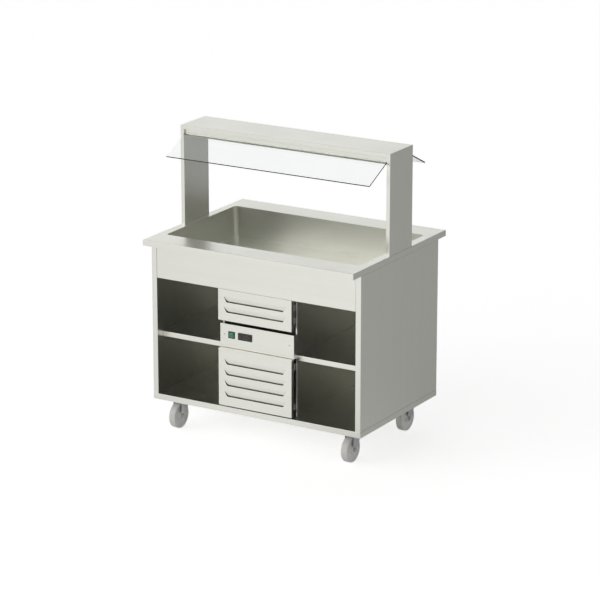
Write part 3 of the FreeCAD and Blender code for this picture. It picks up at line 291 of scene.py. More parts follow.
def effect(graph: Graph, group: bpy.types.NodeTree, inputs: dict) -> bpy.types.Node:
    """Place a shared effect in a material."""
    return graph.add("ShaderNodeGroup", inputs, node_tree=group)


def surface(graph: Graph, inputs: dict) -> None:
    """Add the Principled surface and the material's output."""
    shader = graph.add("ShaderNodeBsdfPrincipled", inputs)
    graph.add("ShaderNodeOutputMaterial", {"Surface": shader.outputs[0]})


# ---------------------------------------------------------------- finishes

@dataclass(frozen=True)
class BrushedSteel:
    """Stainless sheet with a fine brushed grain."""

    name: str
    grain: Grain
    tint: Colour = (0.74, 0.742, 0.685)
    roughness: float = 0.30
    density: float = 1400.0
    edge_radius: float = 0.0005

    def build(self) -> bpy.types.Material:
        """Draw the material."""
        material, graph = started(self.name)
        grain = effect(graph, Effects.grain(), {"Stretch": self.grain.value, "Density": self.density})
        marks = effect(graph, Effects.cloud(), {"Scale": 5.0}).outputs["Value"]
        edge = effect(graph, Effects.edges(), {"Radius": self.edge_radius})
        fine, broad = grain.outputs["Fine"], grain.outputs["Broad"]
        streak = graph.ramp(fine, 0.25, 0.75, 0.0, 1.0)
        colour = graph.blend(streak, rgba(self.tint, 0.95), rgba(self.tint, 1.05))
        colour = graph.blend(graph.ramp(broad, 0.3, 0.7, 0.0, 0.25), colour, rgba(self.tint, 1.08))
        colour = graph.blend(graph.math("MULTIPLY", edge.outputs["Mask"], 0.35), colour,
                             rgba(self.tint, 1.3))
        rough = graph.math("ADD", graph.ramp(fine, 0.2, 0.8, self.roughness - 0.05, self.roughness + 0.05),
                           graph.math("MULTIPLY", marks, 0.05))
        bump = graph.add("ShaderNodeBump", {"Strength": 0.12, "Distance": 0.00006, "Height": fine,
                                            "Normal": edge.outputs["Normal"]})
        surface(graph, {"Base Color": colour, "Metallic": 1.0, "Roughness": rough,
                        "Normal": bump.outputs[0]})
        return material


@dataclass(frozen=True)
class ZincSteel:
    """Zinc on steel: cloudy plating on small parts, or a spangle on sheet."""

    name: str
    tint: Colour = (0.56, 0.57, 0.58)
    roughness: float = 0.38
    spangle: float = 0.0
    edge_radius: float = 0.0006

    def build(self) -> bpy.types.Material:
        """Draw the material."""
        material, graph = started(self.name)
        cloud = effect(graph, Effects.cloud(), {"Scale": 60.0}).outputs["Value"]
        edge = effect(graph, Effects.edges(), {"Radius": self.edge_radius})
        dust = effect(graph, Effects.dust(), {"Amount": 0.2}).outputs["Mask"]
        place = graph.add("ShaderNodeTexCoord").outputs["Object"]
        flakes = graph.add("ShaderNodeTexVoronoi", {"Vector": place, "Scale": 120.0})
        flake = graph.add("ShaderNodeSeparateXYZ", {0: flakes.outputs["Color"]}).outputs[0]
        colour = graph.blend(cloud, rgba(self.tint, 0.88), rgba(self.tint, 1.06))
        colour = graph.blend(graph.math("MULTIPLY", flake, self.spangle), colour, rgba(self.tint, 0.7))
        colour = graph.blend(graph.math("MULTIPLY", edge.outputs["Mask"], 0.5), colour,
                             rgba(self.tint, 1.4))
        colour = graph.blend(dust, colour, (0.36, 0.34, 0.30, 1.0))
        rough = graph.math("ADD", graph.ramp(cloud, 0.0, 1.0, self.roughness - 0.05, self.roughness + 0.08),
                           graph.math("MULTIPLY", flake, self.spangle * 0.3))
        surface(graph, {"Base Color": colour, "Metallic": 0.95, "Roughness": rough,
                        "Normal": edge.outputs["Normal"]})
        return material


@dataclass(frozen=True)
class Moulding:
    """Moulded plastic or painted metal: fine texture, worn edges and a little dust."""

    name: str
    tint: Colour
    roughness: float = 0.45
    texture: float = 0.15
    grit: float = 2600.0
    edge_tone: float = 1.25
    dust: float = 0.1
    coat: float = 0.0
    metallic: float = 0.0

    def build(self) -> bpy.types.Material:
        """Draw the material."""
        material, graph = started(self.name)
        cloud = effect(graph, Effects.cloud(), {"Scale": 22.0}).outputs["Value"]
        edge = effect(graph, Effects.edges(), {"Radius": 0.0005})
        dust = effect(graph, Effects.dust(), {"Amount": self.dust}).outputs["Mask"]
        place = graph.add("ShaderNodeTexCoord").outputs["Object"]
        grit = graph.add("ShaderNodeTexNoise", {"Vector": place, "Scale": self.grit,
                                                "Detail": 2.0}).outputs[0]
        colour = graph.blend(cloud, rgba(self.tint, 0.94), rgba(self.tint, 1.04))
        colour = graph.blend(graph.math("MULTIPLY", edge.outputs["Mask"], 0.4), colour,
                             rgba(self.tint, self.edge_tone))
        colour = graph.blend(dust, colour, (0.42, 0.40, 0.36, 1.0))
        rough = graph.math("ADD", graph.ramp(cloud, 0.0, 1.0, self.roughness - 0.04, self.roughness + 0.05),
                           graph.math("MULTIPLY", dust, 0.3))
        bump = graph.add("ShaderNodeBump", {"Strength": self.texture, "Distance": 0.00008, "Height": grit,
                                            "Normal": edge.outputs["Normal"]})
        surface(graph, {"Base Color": colour, "Metallic": self.metallic, "Roughness": rough,
                        "Coat Weight": self.coat, "Normal": bump.outputs[0]})
        return material


@dataclass(frozen=True)
class DrawnMetal:
    """Drawn tube or cast fitting: copper, brass, aluminium or steel, dulled in patches."""

    name: str
    tint: Colour
    dull: Colour
    roughness: float = 0.3
    patches: float = 30.0

    def build(self) -> bpy.types.Material:
        """Draw the material."""
        material, graph = started(self.name)
        cloud = effect(graph, Effects.cloud(), {"Scale": self.patches}).outputs["Value"]
        edge = effect(graph, Effects.edges(), {"Radius": 0.0004})
        dust = effect(graph, Effects.dust(), {"Amount": 0.15}).outputs["Mask"]
        colour = graph.blend(graph.math("MULTIPLY", cloud, 0.7), rgba(self.tint), rgba(self.dull))
        colour = graph.blend(graph.math("MULTIPLY", edge.outputs["Mask"], 0.4), colour, rgba(self.tint, 1.2))
        colour = graph.blend(dust, colour, (0.36, 0.34, 0.30, 1.0))
        rough = graph.ramp(cloud, 0.0, 1.0, self.roughness, self.roughness + 0.2)
        surface(graph, {"Base Color": colour, "Metallic": 1.0, "Roughness": rough,
                        "Normal": edge.outputs["Normal"]})
        return material


@dataclass(frozen=True)
class ClearGlass:
    """Toughened sheet glass, with the faintest marks of wiping."""

    name: str
    tint: Colour = (0.955, 0.975, 0.965)

    def build(self) -> bpy.types.Material:
        """Draw the material."""
        material, graph = started(self.name)
        wiped = effect(graph, Effects.cloud(), {"Scale": 9.0}).outputs["Value"]
        colour = graph.blend(wiped, rgba(self.tint, 0.99), rgba(self.tint, 1.01))
        surface(graph, {"Base Color": colour, "Roughness": graph.ramp(wiped, 0.0, 1.0, 0.005, 0.03),
                        "IOR": 1.5, "Transmission Weight": 1.0})
        return material


@dataclass(frozen=True)
class Foam:
    """Cut polyurethane foam: small cells and a yellowed tone."""

    name: str
    tint: Colour = (0.78, 0.70, 0.46)

    def build(self) -> bpy.types.Material:
        """Draw the material."""
        material, graph = started(self.name)
        place = graph.add("ShaderNodeTexCoord").outputs["Object"]
        cells = graph.add("ShaderNodeTexVoronoi", {"Vector": place, "Scale": 700.0}).outputs["Distance"]
        cloud = effect(graph, Effects.cloud(), {"Scale": 12.0}).outputs["Value"]
        colour = graph.blend(cloud, rgba(self.tint, 0.9), rgba(self.tint, 1.05))
        colour = graph.blend(graph.ramp(cells, 0.2, 0.6, 0.0, 0.3), colour, rgba(self.tint, 0.6))
        bump = graph.add("ShaderNodeBump", {"Strength": 0.5, "Distance": 0.0004, "Height": cells})
        surface(graph, {"Base Color": colour, "Roughness": 0.9, "Normal": bump.outputs[0]})
        return material


class Palette:
    """Every finish of the salad bar, built once and handed out by name."""

    STEEL_X = BrushedSteel("stainless_brushed_across", Grain.ALONG_X)
    STEEL_Z = BrushedSteel("stainless_brushed_upright", Grain.ALONG_Z)
    WELL = BrushedSteel("stainless_drawn_basin", Grain.ALONG_X)
    ZINC = ZincSteel("zinc_plated")
    GALVANISED = ZincSteel("galvanised_sheet", roughness=0.42, spangle=0.35)
    WHITE = Moulding("white_polyamide", (0.80, 0.79, 0.765), roughness=0.4, edge_tone=1.1)
    BLACK = Moulding("black_moulding", (0.020, 0.020, 0.021), roughness=0.42, edge_tone=2.2)
    KEY = Moulding("grey_keys", (0.10, 0.10, 0.105), roughness=0.5, edge_tone=1.6)
    GREEN = Moulding("green_rocker", (0.015, 0.26, 0.115), roughness=0.22, texture=0.02, edge_tone=1.5,
                     dust=0.0, coat=0.5)
    WINDOW = Moulding("dark_window", (0.012, 0.004, 0.004), roughness=0.12, texture=0.0, edge_tone=1.5,
                      dust=0.0, coat=0.3)
    RED = Moulding("red_dipped_handle", (0.46, 0.03, 0.025), roughness=0.38, edge_tone=1.3)
    ENAMEL = Moulding("black_enamel", (0.018, 0.018, 0.019), roughness=0.3, texture=0.35, grit=300.0,
                      edge_tone=2.5, dust=0.3, coat=0.3)
    ALUMINIUM = DrawnMetal("mill_aluminium", (0.72, 0.73, 0.74), (0.55, 0.56, 0.57), 0.32)
    COPPER = DrawnMetal("copper_tube", (0.80, 0.42, 0.28), (0.42, 0.22, 0.14), 0.25)
    BRASS = DrawnMetal("nickelled_brass", (0.62, 0.57, 0.46), (0.45, 0.40, 0.30), 0.3)
    TUBE = DrawnMetal("steel_tube", (0.55, 0.55, 0.53), (0.42, 0.42, 0.40), 0.35)
    PRINT = Moulding("white_print", (0.80, 0.80, 0.78), roughness=0.5, texture=0.0, dust=0.0)
    LIT = Moulding("dim_red_digits", (0.42, 0.02, 0.02), roughness=0.4, texture=0.0, dust=0.0)
    GLASS = ClearGlass("clear_glass")
    FOAM = Foam("cut_foam")

    _made: Dict[str, bpy.types.Material] = {}

    @classmethod
    def of(cls, finish: object) -> bpy.types.Material:
        """The material of a finish, drawn the first time it is asked for."""
        if finish.name not in cls._made:
            cls._made[finish.name] = finish.build()
        return cls._made[finish.name]


CASTOR_PLACES = ("front_left", "back_left", "front_right", "back_right")

NODE_FINISHES: Dict[object, Tuple[str, ...]] = {
    Palette.STEEL_X: ("base_tray", "front_apron", "rear_apron", "shelf_right", "shelf_left",
                      "louvred_panel_upper", "louvred_panel_lower", "control_panel", "worktop",
                      "canopy", "glass_rails", "back_panel"),
    Palette.STEEL_Z: ("side_panel_right", "side_panel_left", "partition_right", "partition_left",
                      "post_right", "post_left"),
    Palette.WELL: ("well_basin",),
    Palette.GALVANISED: ("castor_channels", "shelf_rails", "panel_brackets", "well_casing", "unit_tray",
                         "fan_shroud"),
    Palette.ZINC: ("castor_plates", "castor_bolts", "panel_screws")
    + tuple("castor_fork_" + place for place in CASTOR_PLACES)
    + tuple("castor_axle_" + place for place in CASTOR_PLACES),
    Palette.WHITE: tuple("castor_wheel_" + place for place in CASTOR_PLACES),
    Palette.BLACK: ("switch_bezel", "controller_body", "cable_gland"),
    Palette.KEY: ("key_up", "key_down", "key_set"),
    Palette.GREEN: ("switch_rocker",),
    Palette.WINDOW: ("controller_window",),
    Palette.RED: ("drain_valve_lever",),
    Palette.ENAMEL: ("compressor", "fan_motor"),
    Palette.ALUMINIUM: ("evaporator", "condenser", "fan_rotor"),
    Palette.COPPER: ("refrigerant_pipes",),
    Palette.BRASS: ("drain_valve_body",),
    Palette.TUBE: ("drain_pipe",),
    Palette.GLASS: ("glass_front", "glass_back"),
    Palette.FOAM: ("well_insulation",),
}


def dress_nodes(nodes: Dict[str, bpy.types.Object]) -> None:
    """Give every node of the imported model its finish.

    Args:
        nodes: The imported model's nodes, by name.
    """
    finish_of = {name: finish for finish, names in NODE_FINISHES.items() for name in names}
    for name, node in nodes.items():
        material = Palette.of(finish_of[name])
        if not node.material_slots:
            node.data.materials.append(material)
        for slot in node.material_slots:
            slot.material = material
    LOG.info("%d nodes dressed", len(nodes))


# ---------------------------------------------------------------- modelling

def deselect() -> None:
    """Leave nothing selected, as every operator acts on all that is."""
    if bpy.context.object and bpy.context.object.mode != "OBJECT":
        bpy.ops.object.mode_set(mode="OBJECT")
    bpy.ops.object.select_all(action="DESELECT")


def node_corners(name: str) -> Tuple[Vector, Vector]:
    """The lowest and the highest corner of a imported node, in millimetres."""
    low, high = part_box(name)
    return Vector(low) / MM, Vector(high) / MM


def node_centre(name: str) -> Vector:
    """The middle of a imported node, in millimetres."""
    low, high = node_corners(name)
    return (low + high) / 2


def facing(axis: Along, way: float = 0.0) -> Test:
    """A test for faces that look along an axis: forwards for 1, backwards for -1, both for 0."""

    def test(place: Vector, normal: Vector) -> bool:
        along = normal[axis.value]
        return abs(along) > FACING and along * way >= 0.0

    return test


def around(axis: Along) -> Test:
    """A test for faces that stand round an axis."""
    return lambda place, normal: abs(normal[axis.value]) < SQUARE


def across(axis: Along) -> Test:
    """A test for edges that keep their place along an axis."""
    return lambda a, b: abs(a[axis.value] - b[axis.value]) < NEAR


def lying(axis: Along, level: float) -> Test:
    """A test for edges that lie in one plane across an axis."""
    return lambda a, b: abs(a[axis.value] - level) + abs(b[axis.value] - level) < NEAR


class Workpiece:
    """A mesh that is modelled with Blender's own tools, with every size in millimetres."""

    def __init__(self, name: str) -> None:
        """Take up the object that was just added, and settle it at the origin.

        Args:
            name: The piece's name.
        """
        self.object = bpy.context.object
        self.object.name = name
        self.object.data.name = name
        bpy.ops.object.transform_apply(location=True, rotation=True, scale=True)

    @classmethod
    def block(cls, name: str, low: Sequence[float], high: Sequence[float]) -> "Workpiece":
        """Start from a block between two corners."""
        deselect()
        first, last = Vector(low) * MM, Vector(high) * MM
        bpy.ops.mesh.primitive_cube_add(size=1.0, location=(first + last) / 2, scale=last - first)
        return cls(name)

    @classmethod
    def bar(cls, name: str, radius: float, start: Sequence[float], end: Sequence[float],
            sides: int = 48, turn: float = 0.0) -> "Workpiece":
        """Start from a bar between two points.

        Args:
            name: The piece's name.
            radius: From the middle to the corners.
            start: The middle of one end.
            end: The middle of the other end.
            sides: Six make a nut, many make a drum.
            turn: Degrees that the bar is turned about its own length.

        Returns:
            The new piece.
        """
        deselect()
        run = (Vector(end) - Vector(start)) * MM
        aim = run.to_track_quat("Z", "Y") @ Quaternion((0.0, 0.0, 1.0), math.radians(turn))
        bpy.ops.mesh.primitive_cylinder_add(vertices=sides, radius=radius * MM, depth=run.length,
                                            location=(Vector(start) + Vector(end)) * MM / 2,
                                            rotation=aim.to_euler())
        return cls(name)

    @classmethod
    def ring(cls, name: str, radius: float, thickness: float, centre: Sequence[float],
             axis: Along) -> "Workpiece":
        """Start from a ring of a round section."""
        deselect()
        bpy.ops.mesh.primitive_torus_add(major_segments=RING_SIDES, minor_segments=RING_SECTION_SIDES,
                                         major_radius=radius * MM, minor_radius=thickness / 2 * MM,
                                         location=Vector(centre) * MM,
                                         rotation=axis.vector.to_track_quat("Z", "Y").to_euler())
        return cls(name)

    @classmethod
    def twin(cls, name: str, source: bpy.types.Object) -> "Workpiece":
        """Start from a copy of an object, with its own mesh."""
        deselect()
        copy = bpy.data.objects.new(name, source.data.copy())
        bpy.context.scene.collection.objects.link(copy)
        bpy.context.view_layer.objects.active = copy
        copy.select_set(True)
        return cls(name)

    @classmethod
    def cast(cls, name: str, node: bpy.types.Object) -> "Workpiece":
        """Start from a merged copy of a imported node, with its flat faces whole again."""
        piece = cls.twin(name, node)
        piece.pick_faces(lambda place, normal: True)
        bpy.ops.mesh.remove_doubles(threshold=MERGE)
        bpy.ops.mesh.dissolve_limited(angle_limit=math.radians(FLAT_ANGLE))
        return piece

    def activate(self) -> "Workpiece":
        """Make this the one selected and active object."""
        deselect()
        self.object.select_set(True)
        bpy.context.view_layer.objects.active = self.object
        return self

    def edit(self, mode: str) -> bmesh.types.BMesh:
        """Go into edit mode with nothing selected, and return the mesh that is edited."""
        self.activate()
        bpy.ops.object.mode_set(mode="EDIT")
        bpy.ops.mesh.select_mode(type=mode)
        bpy.ops.mesh.select_all(action="DESELECT")
        return bmesh.from_edit_mesh(self.object.data)

    def pick_faces(self, wanted: Test) -> "Workpiece":
        """Select the faces whose middle and normal pass a test."""
        for face in self.edit("FACE").faces:
            face.select_set(wanted(face.calc_center_median() / MM, face.normal))
        bmesh.update_edit_mesh(self.object.data)
        return self

    def pick_edges(self, wanted: Test) -> "Workpiece":
        """Select the edges whose two ends pass a test."""
        for edge in self.edit("EDGE").edges:
            edge.select_set(wanted(edge.verts[0].co / MM, edge.verts[1].co / MM))
        bmesh.update_edit_mesh(self.object.data)
        return self

    def inset(self, width: float, rise: float = 0.0) -> "Workpiece":
        """Inset what is selected, and lift it or sink it."""
        bpy.ops.mesh.inset(thickness=width * MM, depth=rise * MM)
        return self

    def bevel(self, width: float, segments: int = 3) -> "Workpiece":
        """Round the selected edges."""
        bpy.ops.mesh.bevel(offset=width * MM, segments=segments, affect="EDGES")
        return self

    def bridge(self) -> "Workpiece":
        """Join the two selected faces by a bore."""
        bpy.ops.mesh.bridge_edge_loops()
        return self

    def modify(self, kind: str, **settings: object) -> "Workpiece":
        """Add a modifier and apply it.

        Args:
            kind: The modifier's type name.
            settings: The modifier's own properties.

        Returns:
            The piece itself.
        """
        deselect()
        modifier = self.object.modifiers.new(kind, kind)
        for key, value in settings.items():
            setattr(modifier, key, value)
        self.activate()
        bpy.ops.object.modifier_apply(modifier=modifier.name)
        return self

    def ease(self, width: float, segments: int = 2, angle: float = 30.0) -> "Workpiece":
        """Take the sharpness off every edge that turns by more than an angle."""
        return self.modify("BEVEL", width=width * MM, segments=segments, limit_method="ANGLE",
                           angle_limit=math.radians(angle))

    def cut(self, tool: "Workpiece") -> "Workpiece":
        """Cut another piece's form out of this one. The other is used up."""
        self.modify("BOOLEAN", object=tool.object)
        bpy.data.objects.remove(tool.object)
        return self

    def repeat(self, count: int, shift: Sequence[float]) -> "Workpiece":
        """Repeat the piece in a row."""
        return self.modify("ARRAY", count=count, use_relative_offset=False, use_constant_offset=True,
                           constant_offset_displace=Vector(shift) * MM)

    def moved(self, shift: Sequence[float] = (0.0, 0.0, 0.0), turn: float = 0.0,
              axis: Along = Along.X) -> "Workpiece":
        """Turn the mesh about the origin, then shift it."""
        deselect()
        turned = Matrix.Rotation(math.radians(turn), 4, axis.vector)
        self.object.data.transform(Matrix.Translation(Vector(shift) * MM) @ turned)
        return self

    def copied(self, name: str, shift: Sequence[float] = (0.0, 0.0, 0.0)) -> "Workpiece":
        """Make a copy with its own mesh, at a shift."""
        return Workpiece.twin(name, self.object).moved(shift)

    def take_in(self, *others: "Workpiece") -> "Workpiece":
        """Join other pieces into this one."""
        self.activate()
        for other in others:
            other.object.select_set(True)
        bpy.ops.object.join()
        return self

    def drop(self) -> None:
        """Delete a model that was only made to be copied."""
        bpy.data.objects.remove(self.object)

    def done(self, body: str, finish: object, slot: str, *replaced: str) -> "Workpiece":
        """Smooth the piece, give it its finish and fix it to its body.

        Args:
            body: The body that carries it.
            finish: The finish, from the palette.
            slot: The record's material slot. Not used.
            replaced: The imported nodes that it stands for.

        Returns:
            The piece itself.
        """
        self.activate()
        self.object.data.materials.clear()
        self.object.data.materials.append(Palette.of(finish))
        bpy.ops.object.shade_smooth_by_angle(angle=math.radians(SMOOTH_ANGLE))
        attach(self.object, body)
        if replaced:
            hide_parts(*replaced)
        LOG.info("%s: %d faces, on %s", self.object.name, len(self.object.data.polygons), body)
        return self


def joined(name: str, pieces: Sequence[Workpiece]) -> Workpiece:
    """Join several pieces into one, under a new name."""
    whole = pieces[0].take_in(*pieces[1:])
    whole.object.name = name
    return whole


def hexagon(name: str, flats: float, start: Sequence[float], end: Sequence[float]) -> Workpiece:
    """A nut or bolt head between two points, with its corners eased."""
    return Workpiece.bar(name, flats / math.sqrt(3.0), start, end, 6, 30.0).ease(0.5, 2)


def washer(radius: float, start: Sequence[float], end: Sequence[float], sides: int = 40) -> Workpiece:
    """A washer between two points, with its rims eased."""
    return Workpiece.bar("washer", radius, start, end, sides).ease(0.3, 1)


# ---------------------------------------------------------------- castors

@dataclass
class Castors:
    """Four swivel castors: plate and raceway, bolts, fork, axle bolt and moulded wheel."""

    nodes: Dict[str, bpy.types.Object]
    tread_radius: float = 62.5
    tread_half: float = 17.0
    tread_round: float = 3.0
    wheel_sides: int = 96
    rim: float = 6.0
    rim_step: float = 0.4
    web_radius: float = 22.5
    web_sink: float = 5.0
    hub_radius: float = 20.0
    hub_half: float = 22.0
    bore: float = 5.05
    soft: float = 1.0
    slope: float = 1.5
    trail: float = 33.0
    plate_half: Tuple[float, float] = (42.5, 52.5)
    plate_bottom: float = 149.0
    plate_top: float = 152.0
    plate_corner: float = 8.0
    race_radius: float = 27.0
    race_bottom: float = 140.0
    race_groove: Tuple[float, float] = (2.6, -1.6)
    race_round: float = 1.6
    race_lip: float = 6.0
    pin_radius: float = 5.0
    pin_flats: float = 17.0
    pin_play: float = 0.3
    pin_low: float = 131.4
    pin_tail: float = 2.2
    pin_washer: Tuple[float, float] = (13.0, 1.4)
    fork_sheet: float = 3.0
    fork_outer: float = 25.3
    fork_bend_inside: float = 19.0
    fork_bend_round: float = 2.2
    fork_crown: float = 136.7
    fork_eye_top: float = 10.0
    fork_eye_round: float = 3.2
    fork_eye_clear: float = 12.0
    axle_head: float = 5.5
    axle_nut: float = 6.5
    axle_washer: Tuple[float, float] = (9.6, 1.3)
    thread_radius: float = 4.0
    axle_thread: float = 2.6
    crown_radius: float = 5.6
    bolt_step: Tuple[float, float] = (30.0, 40.0)
    bolt_thread: float = 3.0
    bolt_washer: Tuple[float, float] = (8.6, 1.4)
    nut_bottom: float = 142.5

    def build(self) -> None:
        """Model one of each piece and set it at the four places."""
        centres = {place: node_centre("castor_wheel_" + place) for place in CASTOR_PLACES}
        first = centres[CASTOR_PLACES[0]]
        wheel = self.wheel(first)
        plates = joined("castor_plates_detail", [self.plate(centre) for centre in centres.values()])
        plates.done("root", Palette.ZINC, "zinc_plated", "castor_plates")
        self.bolts(list(centres.values()))
        for place, centre in centres.items():
            copy = wheel.copied("wheel_detail_" + place, centre - first)
            copy.done("wheel_" + place, Palette.WHITE, "white_plastic", "castor_wheel_" + place)
            self.fork(place, centre)
            self.axle(place, centre)
        wheel.drop()

    def wheel(self, centre: Vector) -> Workpiece:
        """A tread with rounded shoulders, a sunk web and a hub that stands out, bored through."""
        reach = Along.X.vector * self.tread_half
        wheel = Workpiece.bar("wheel", self.tread_radius, centre - reach, centre + reach, self.wheel_sides)
        wheel.pick_edges(across(Along.X)).bevel(self.tread_round, 4)
        wheel.pick_faces(facing(Along.X)).inset(self.rim)
        wheel.inset(self.soft, -self.rim_step)
        wheel.inset(self.slope, self.rim_step - self.web_sink)
        side = self.tread_radius - self.tread_round
        wheel.inset(side - self.rim - self.soft - self.slope - self.web_radius)
        rise = self.hub_half - (self.tread_half - self.web_sink)
        wheel.inset(self.soft, self.soft)
        wheel.inset(self.slope, rise - 2 * self.soft)
        wheel.inset(self.soft, self.soft)
        wheel.inset(self.hub_radius - self.soft - self.bore - self.soft)
        wheel.inset(self.soft, -self.soft)
        return wheel.bridge()

    def fork(self, place: str, centre: Vector) -> None:
        """The pressed fork, with its bends and its eye rounded."""
        def is_bend(a: Vector, b: Vector) -> bool:
            return (abs(a.y - b.y) > LONG and abs(a.z - b.z) < NEAR
                    and a.z > self.fork_crown - self.fork_sheet
                    and abs(a.x - centre.x) > self.fork_bend_inside)

        def is_eye_step(a: Vector, b: Vector) -> bool:
            return (abs((a - b).length - self.fork_sheet) < LOOSE and abs(a.z - b.z) < NEAR
                    and abs(abs(a.x - b.x) - self.fork_sheet) < LOOSE
                    and a.z < centre.z + self.fork_eye_top
                    and abs(a.z - centre.z) + abs(a.y - centre.y) > self.fork_eye_clear)

        fork = Workpiece.cast("fork_detail_" + place, self.nodes["castor_fork_" + place])
        fork.pick_edges(is_bend).bevel(self.fork_bend_round, 3)
        fork.pick_edges(is_eye_step).bevel(self.fork_eye_round, 4)
        fork.ease(0.5, 2, 40.0)
        fork.done("castor_" + place, Palette.ZINC, "zinc_plated", "castor_fork_" + place)

    def axle(self, place: str, centre: Vector) -> None:
        """The axle bolt: head and washer on one side, washer, nut and thread's end on the other."""
        right = Along.X.vector
        axle = Workpiece.cast("axle_detail_" + place, self.nodes["castor_axle_" + place]).ease(0.7, 2)
        radius, thickness = self.axle_washer
        washers = []
        for side in (-1.0, 1.0):
            seat = centre + right * (side * self.fork_outer)
            disc = Workpiece.bar("washer", radius, seat, seat + right * (side * thickness), 40)
            washers.append(disc.ease(0.25, 1))
        end = centre - right * (self.fork_outer + self.axle_nut)
        thread = Workpiece.bar("thread", self.thread_radius, end + right, end - right * self.axle_thread, 24)
        thread.pick_faces(facing(Along.X, -1)).inset(0.8, 0.8)
        face = centre + right * (self.fork_outer + self.axle_head)
        crown = Workpiece.bar("crown", self.crown_radius, face - right, face + right * 0.5, 32)
        crown.pick_faces(facing(Along.X, 1)).inset(0.5, 0.1).inset(1.2, -0.4)
        axle.take_in(*washers, thread, crown)
        axle.done("castor_" + place, Palette.ZINC, "zinc_plated", "castor_axle_" + place)

    def plate(self, centre: Vector) -> Workpiece:
        """Top plate with round corners, a turned raceway and the king pin's head."""
        x, y = centre.x, centre.y + self.trail
        half_x, half_y = self.plate_half
        plate = Workpiece.block("plate", (x - half_x, y - half_y, self.plate_bottom),
                                (x + half_x, y + half_y, self.plate_top))
        plate.pick_edges(lambda a, b: not across(Along.Z)(a, b)).bevel(self.plate_corner, 6)
        plate.ease(0.4, 2)
        race = Workpiece.bar("race", self.race_radius, (x, y, self.race_bottom),
                             (x, y, self.plate_bottom), 72)
        race.pick_faces(around(Along.Z)).inset(*self.race_groove)
        race.pick_edges(lying(Along.Z, self.race_bottom)).bevel(self.race_round, 3)
        race.pick_faces(facing(Along.Z, -1)).inset(self.race_lip).inset(0.8, -1.2)
        radius, thickness = self.pin_washer
        head_top = self.fork_crown - self.pin_play
        disc = washer(radius, (x, y, head_top - thickness), (x, y, head_top))
        head = hexagon("head", self.pin_flats, (x, y, self.pin_low), (x, y, head_top - 1.0))
        pin = Workpiece.bar("pin", self.pin_radius, (x, y, self.pin_low - self.pin_tail),
                            (x, y, self.race_bottom), 32)
        pin.pick_faces(facing(Along.Z, -1)).inset(0.9, 0.9)
        return plate.take_in(race, disc, head, pin)

    def bolts(self, centres: Sequence[Vector]) -> None:
        """The plate bolts, each with a washer and the end of its thread below the nut."""
        bolts = Workpiece.cast("castor_bolts_detail", self.nodes["castor_bolts"]).ease(0.5, 2)
        low = self.nut_bottom
        end = Workpiece.bar("thread", self.thread_radius, (0.0, 0.0, low - self.bolt_thread),
                            (0.0, 0.0, low + 1.0), 20)
        end.pick_faces(facing(Along.Z, -1)).inset(0.9, 0.9)
        radius, thickness = self.bolt_washer
        end.take_in(washer(radius, (0.0, 0.0, self.plate_bottom - thickness),
                           (0.0, 0.0, self.plate_bottom), 32))
        step_x, step_y = self.bolt_step
        ends = [end.copied("bolt_end", (centre.x + side_x * step_x,
                                        centre.y + self.trail + side_y * step_y, 0.0))
                for centre in centres for side_x in (-1.0, 1.0) for side_y in (-1.0, 1.0)]
        bolts.take_in(*ends)
        end.drop()
        bolts.done("root", Palette.ZINC, "zinc_plated", "castor_bolts")


# ---------------------------------------------------------------- controls

# where the strokes of a seven-segment digit stand, in half digits, and whether each lies level
SEGMENTS: Dict[str, Tuple[float, float, bool]] = {
    "a": (0.0, 1.0, True), "b": (1.0, 0.5, False), "c": (1.0, -0.5, False), "d": (0.0, -1.0, True),
    "e": (-1.0, -0.5, False), "f": (-1.0, 0.5, False)}


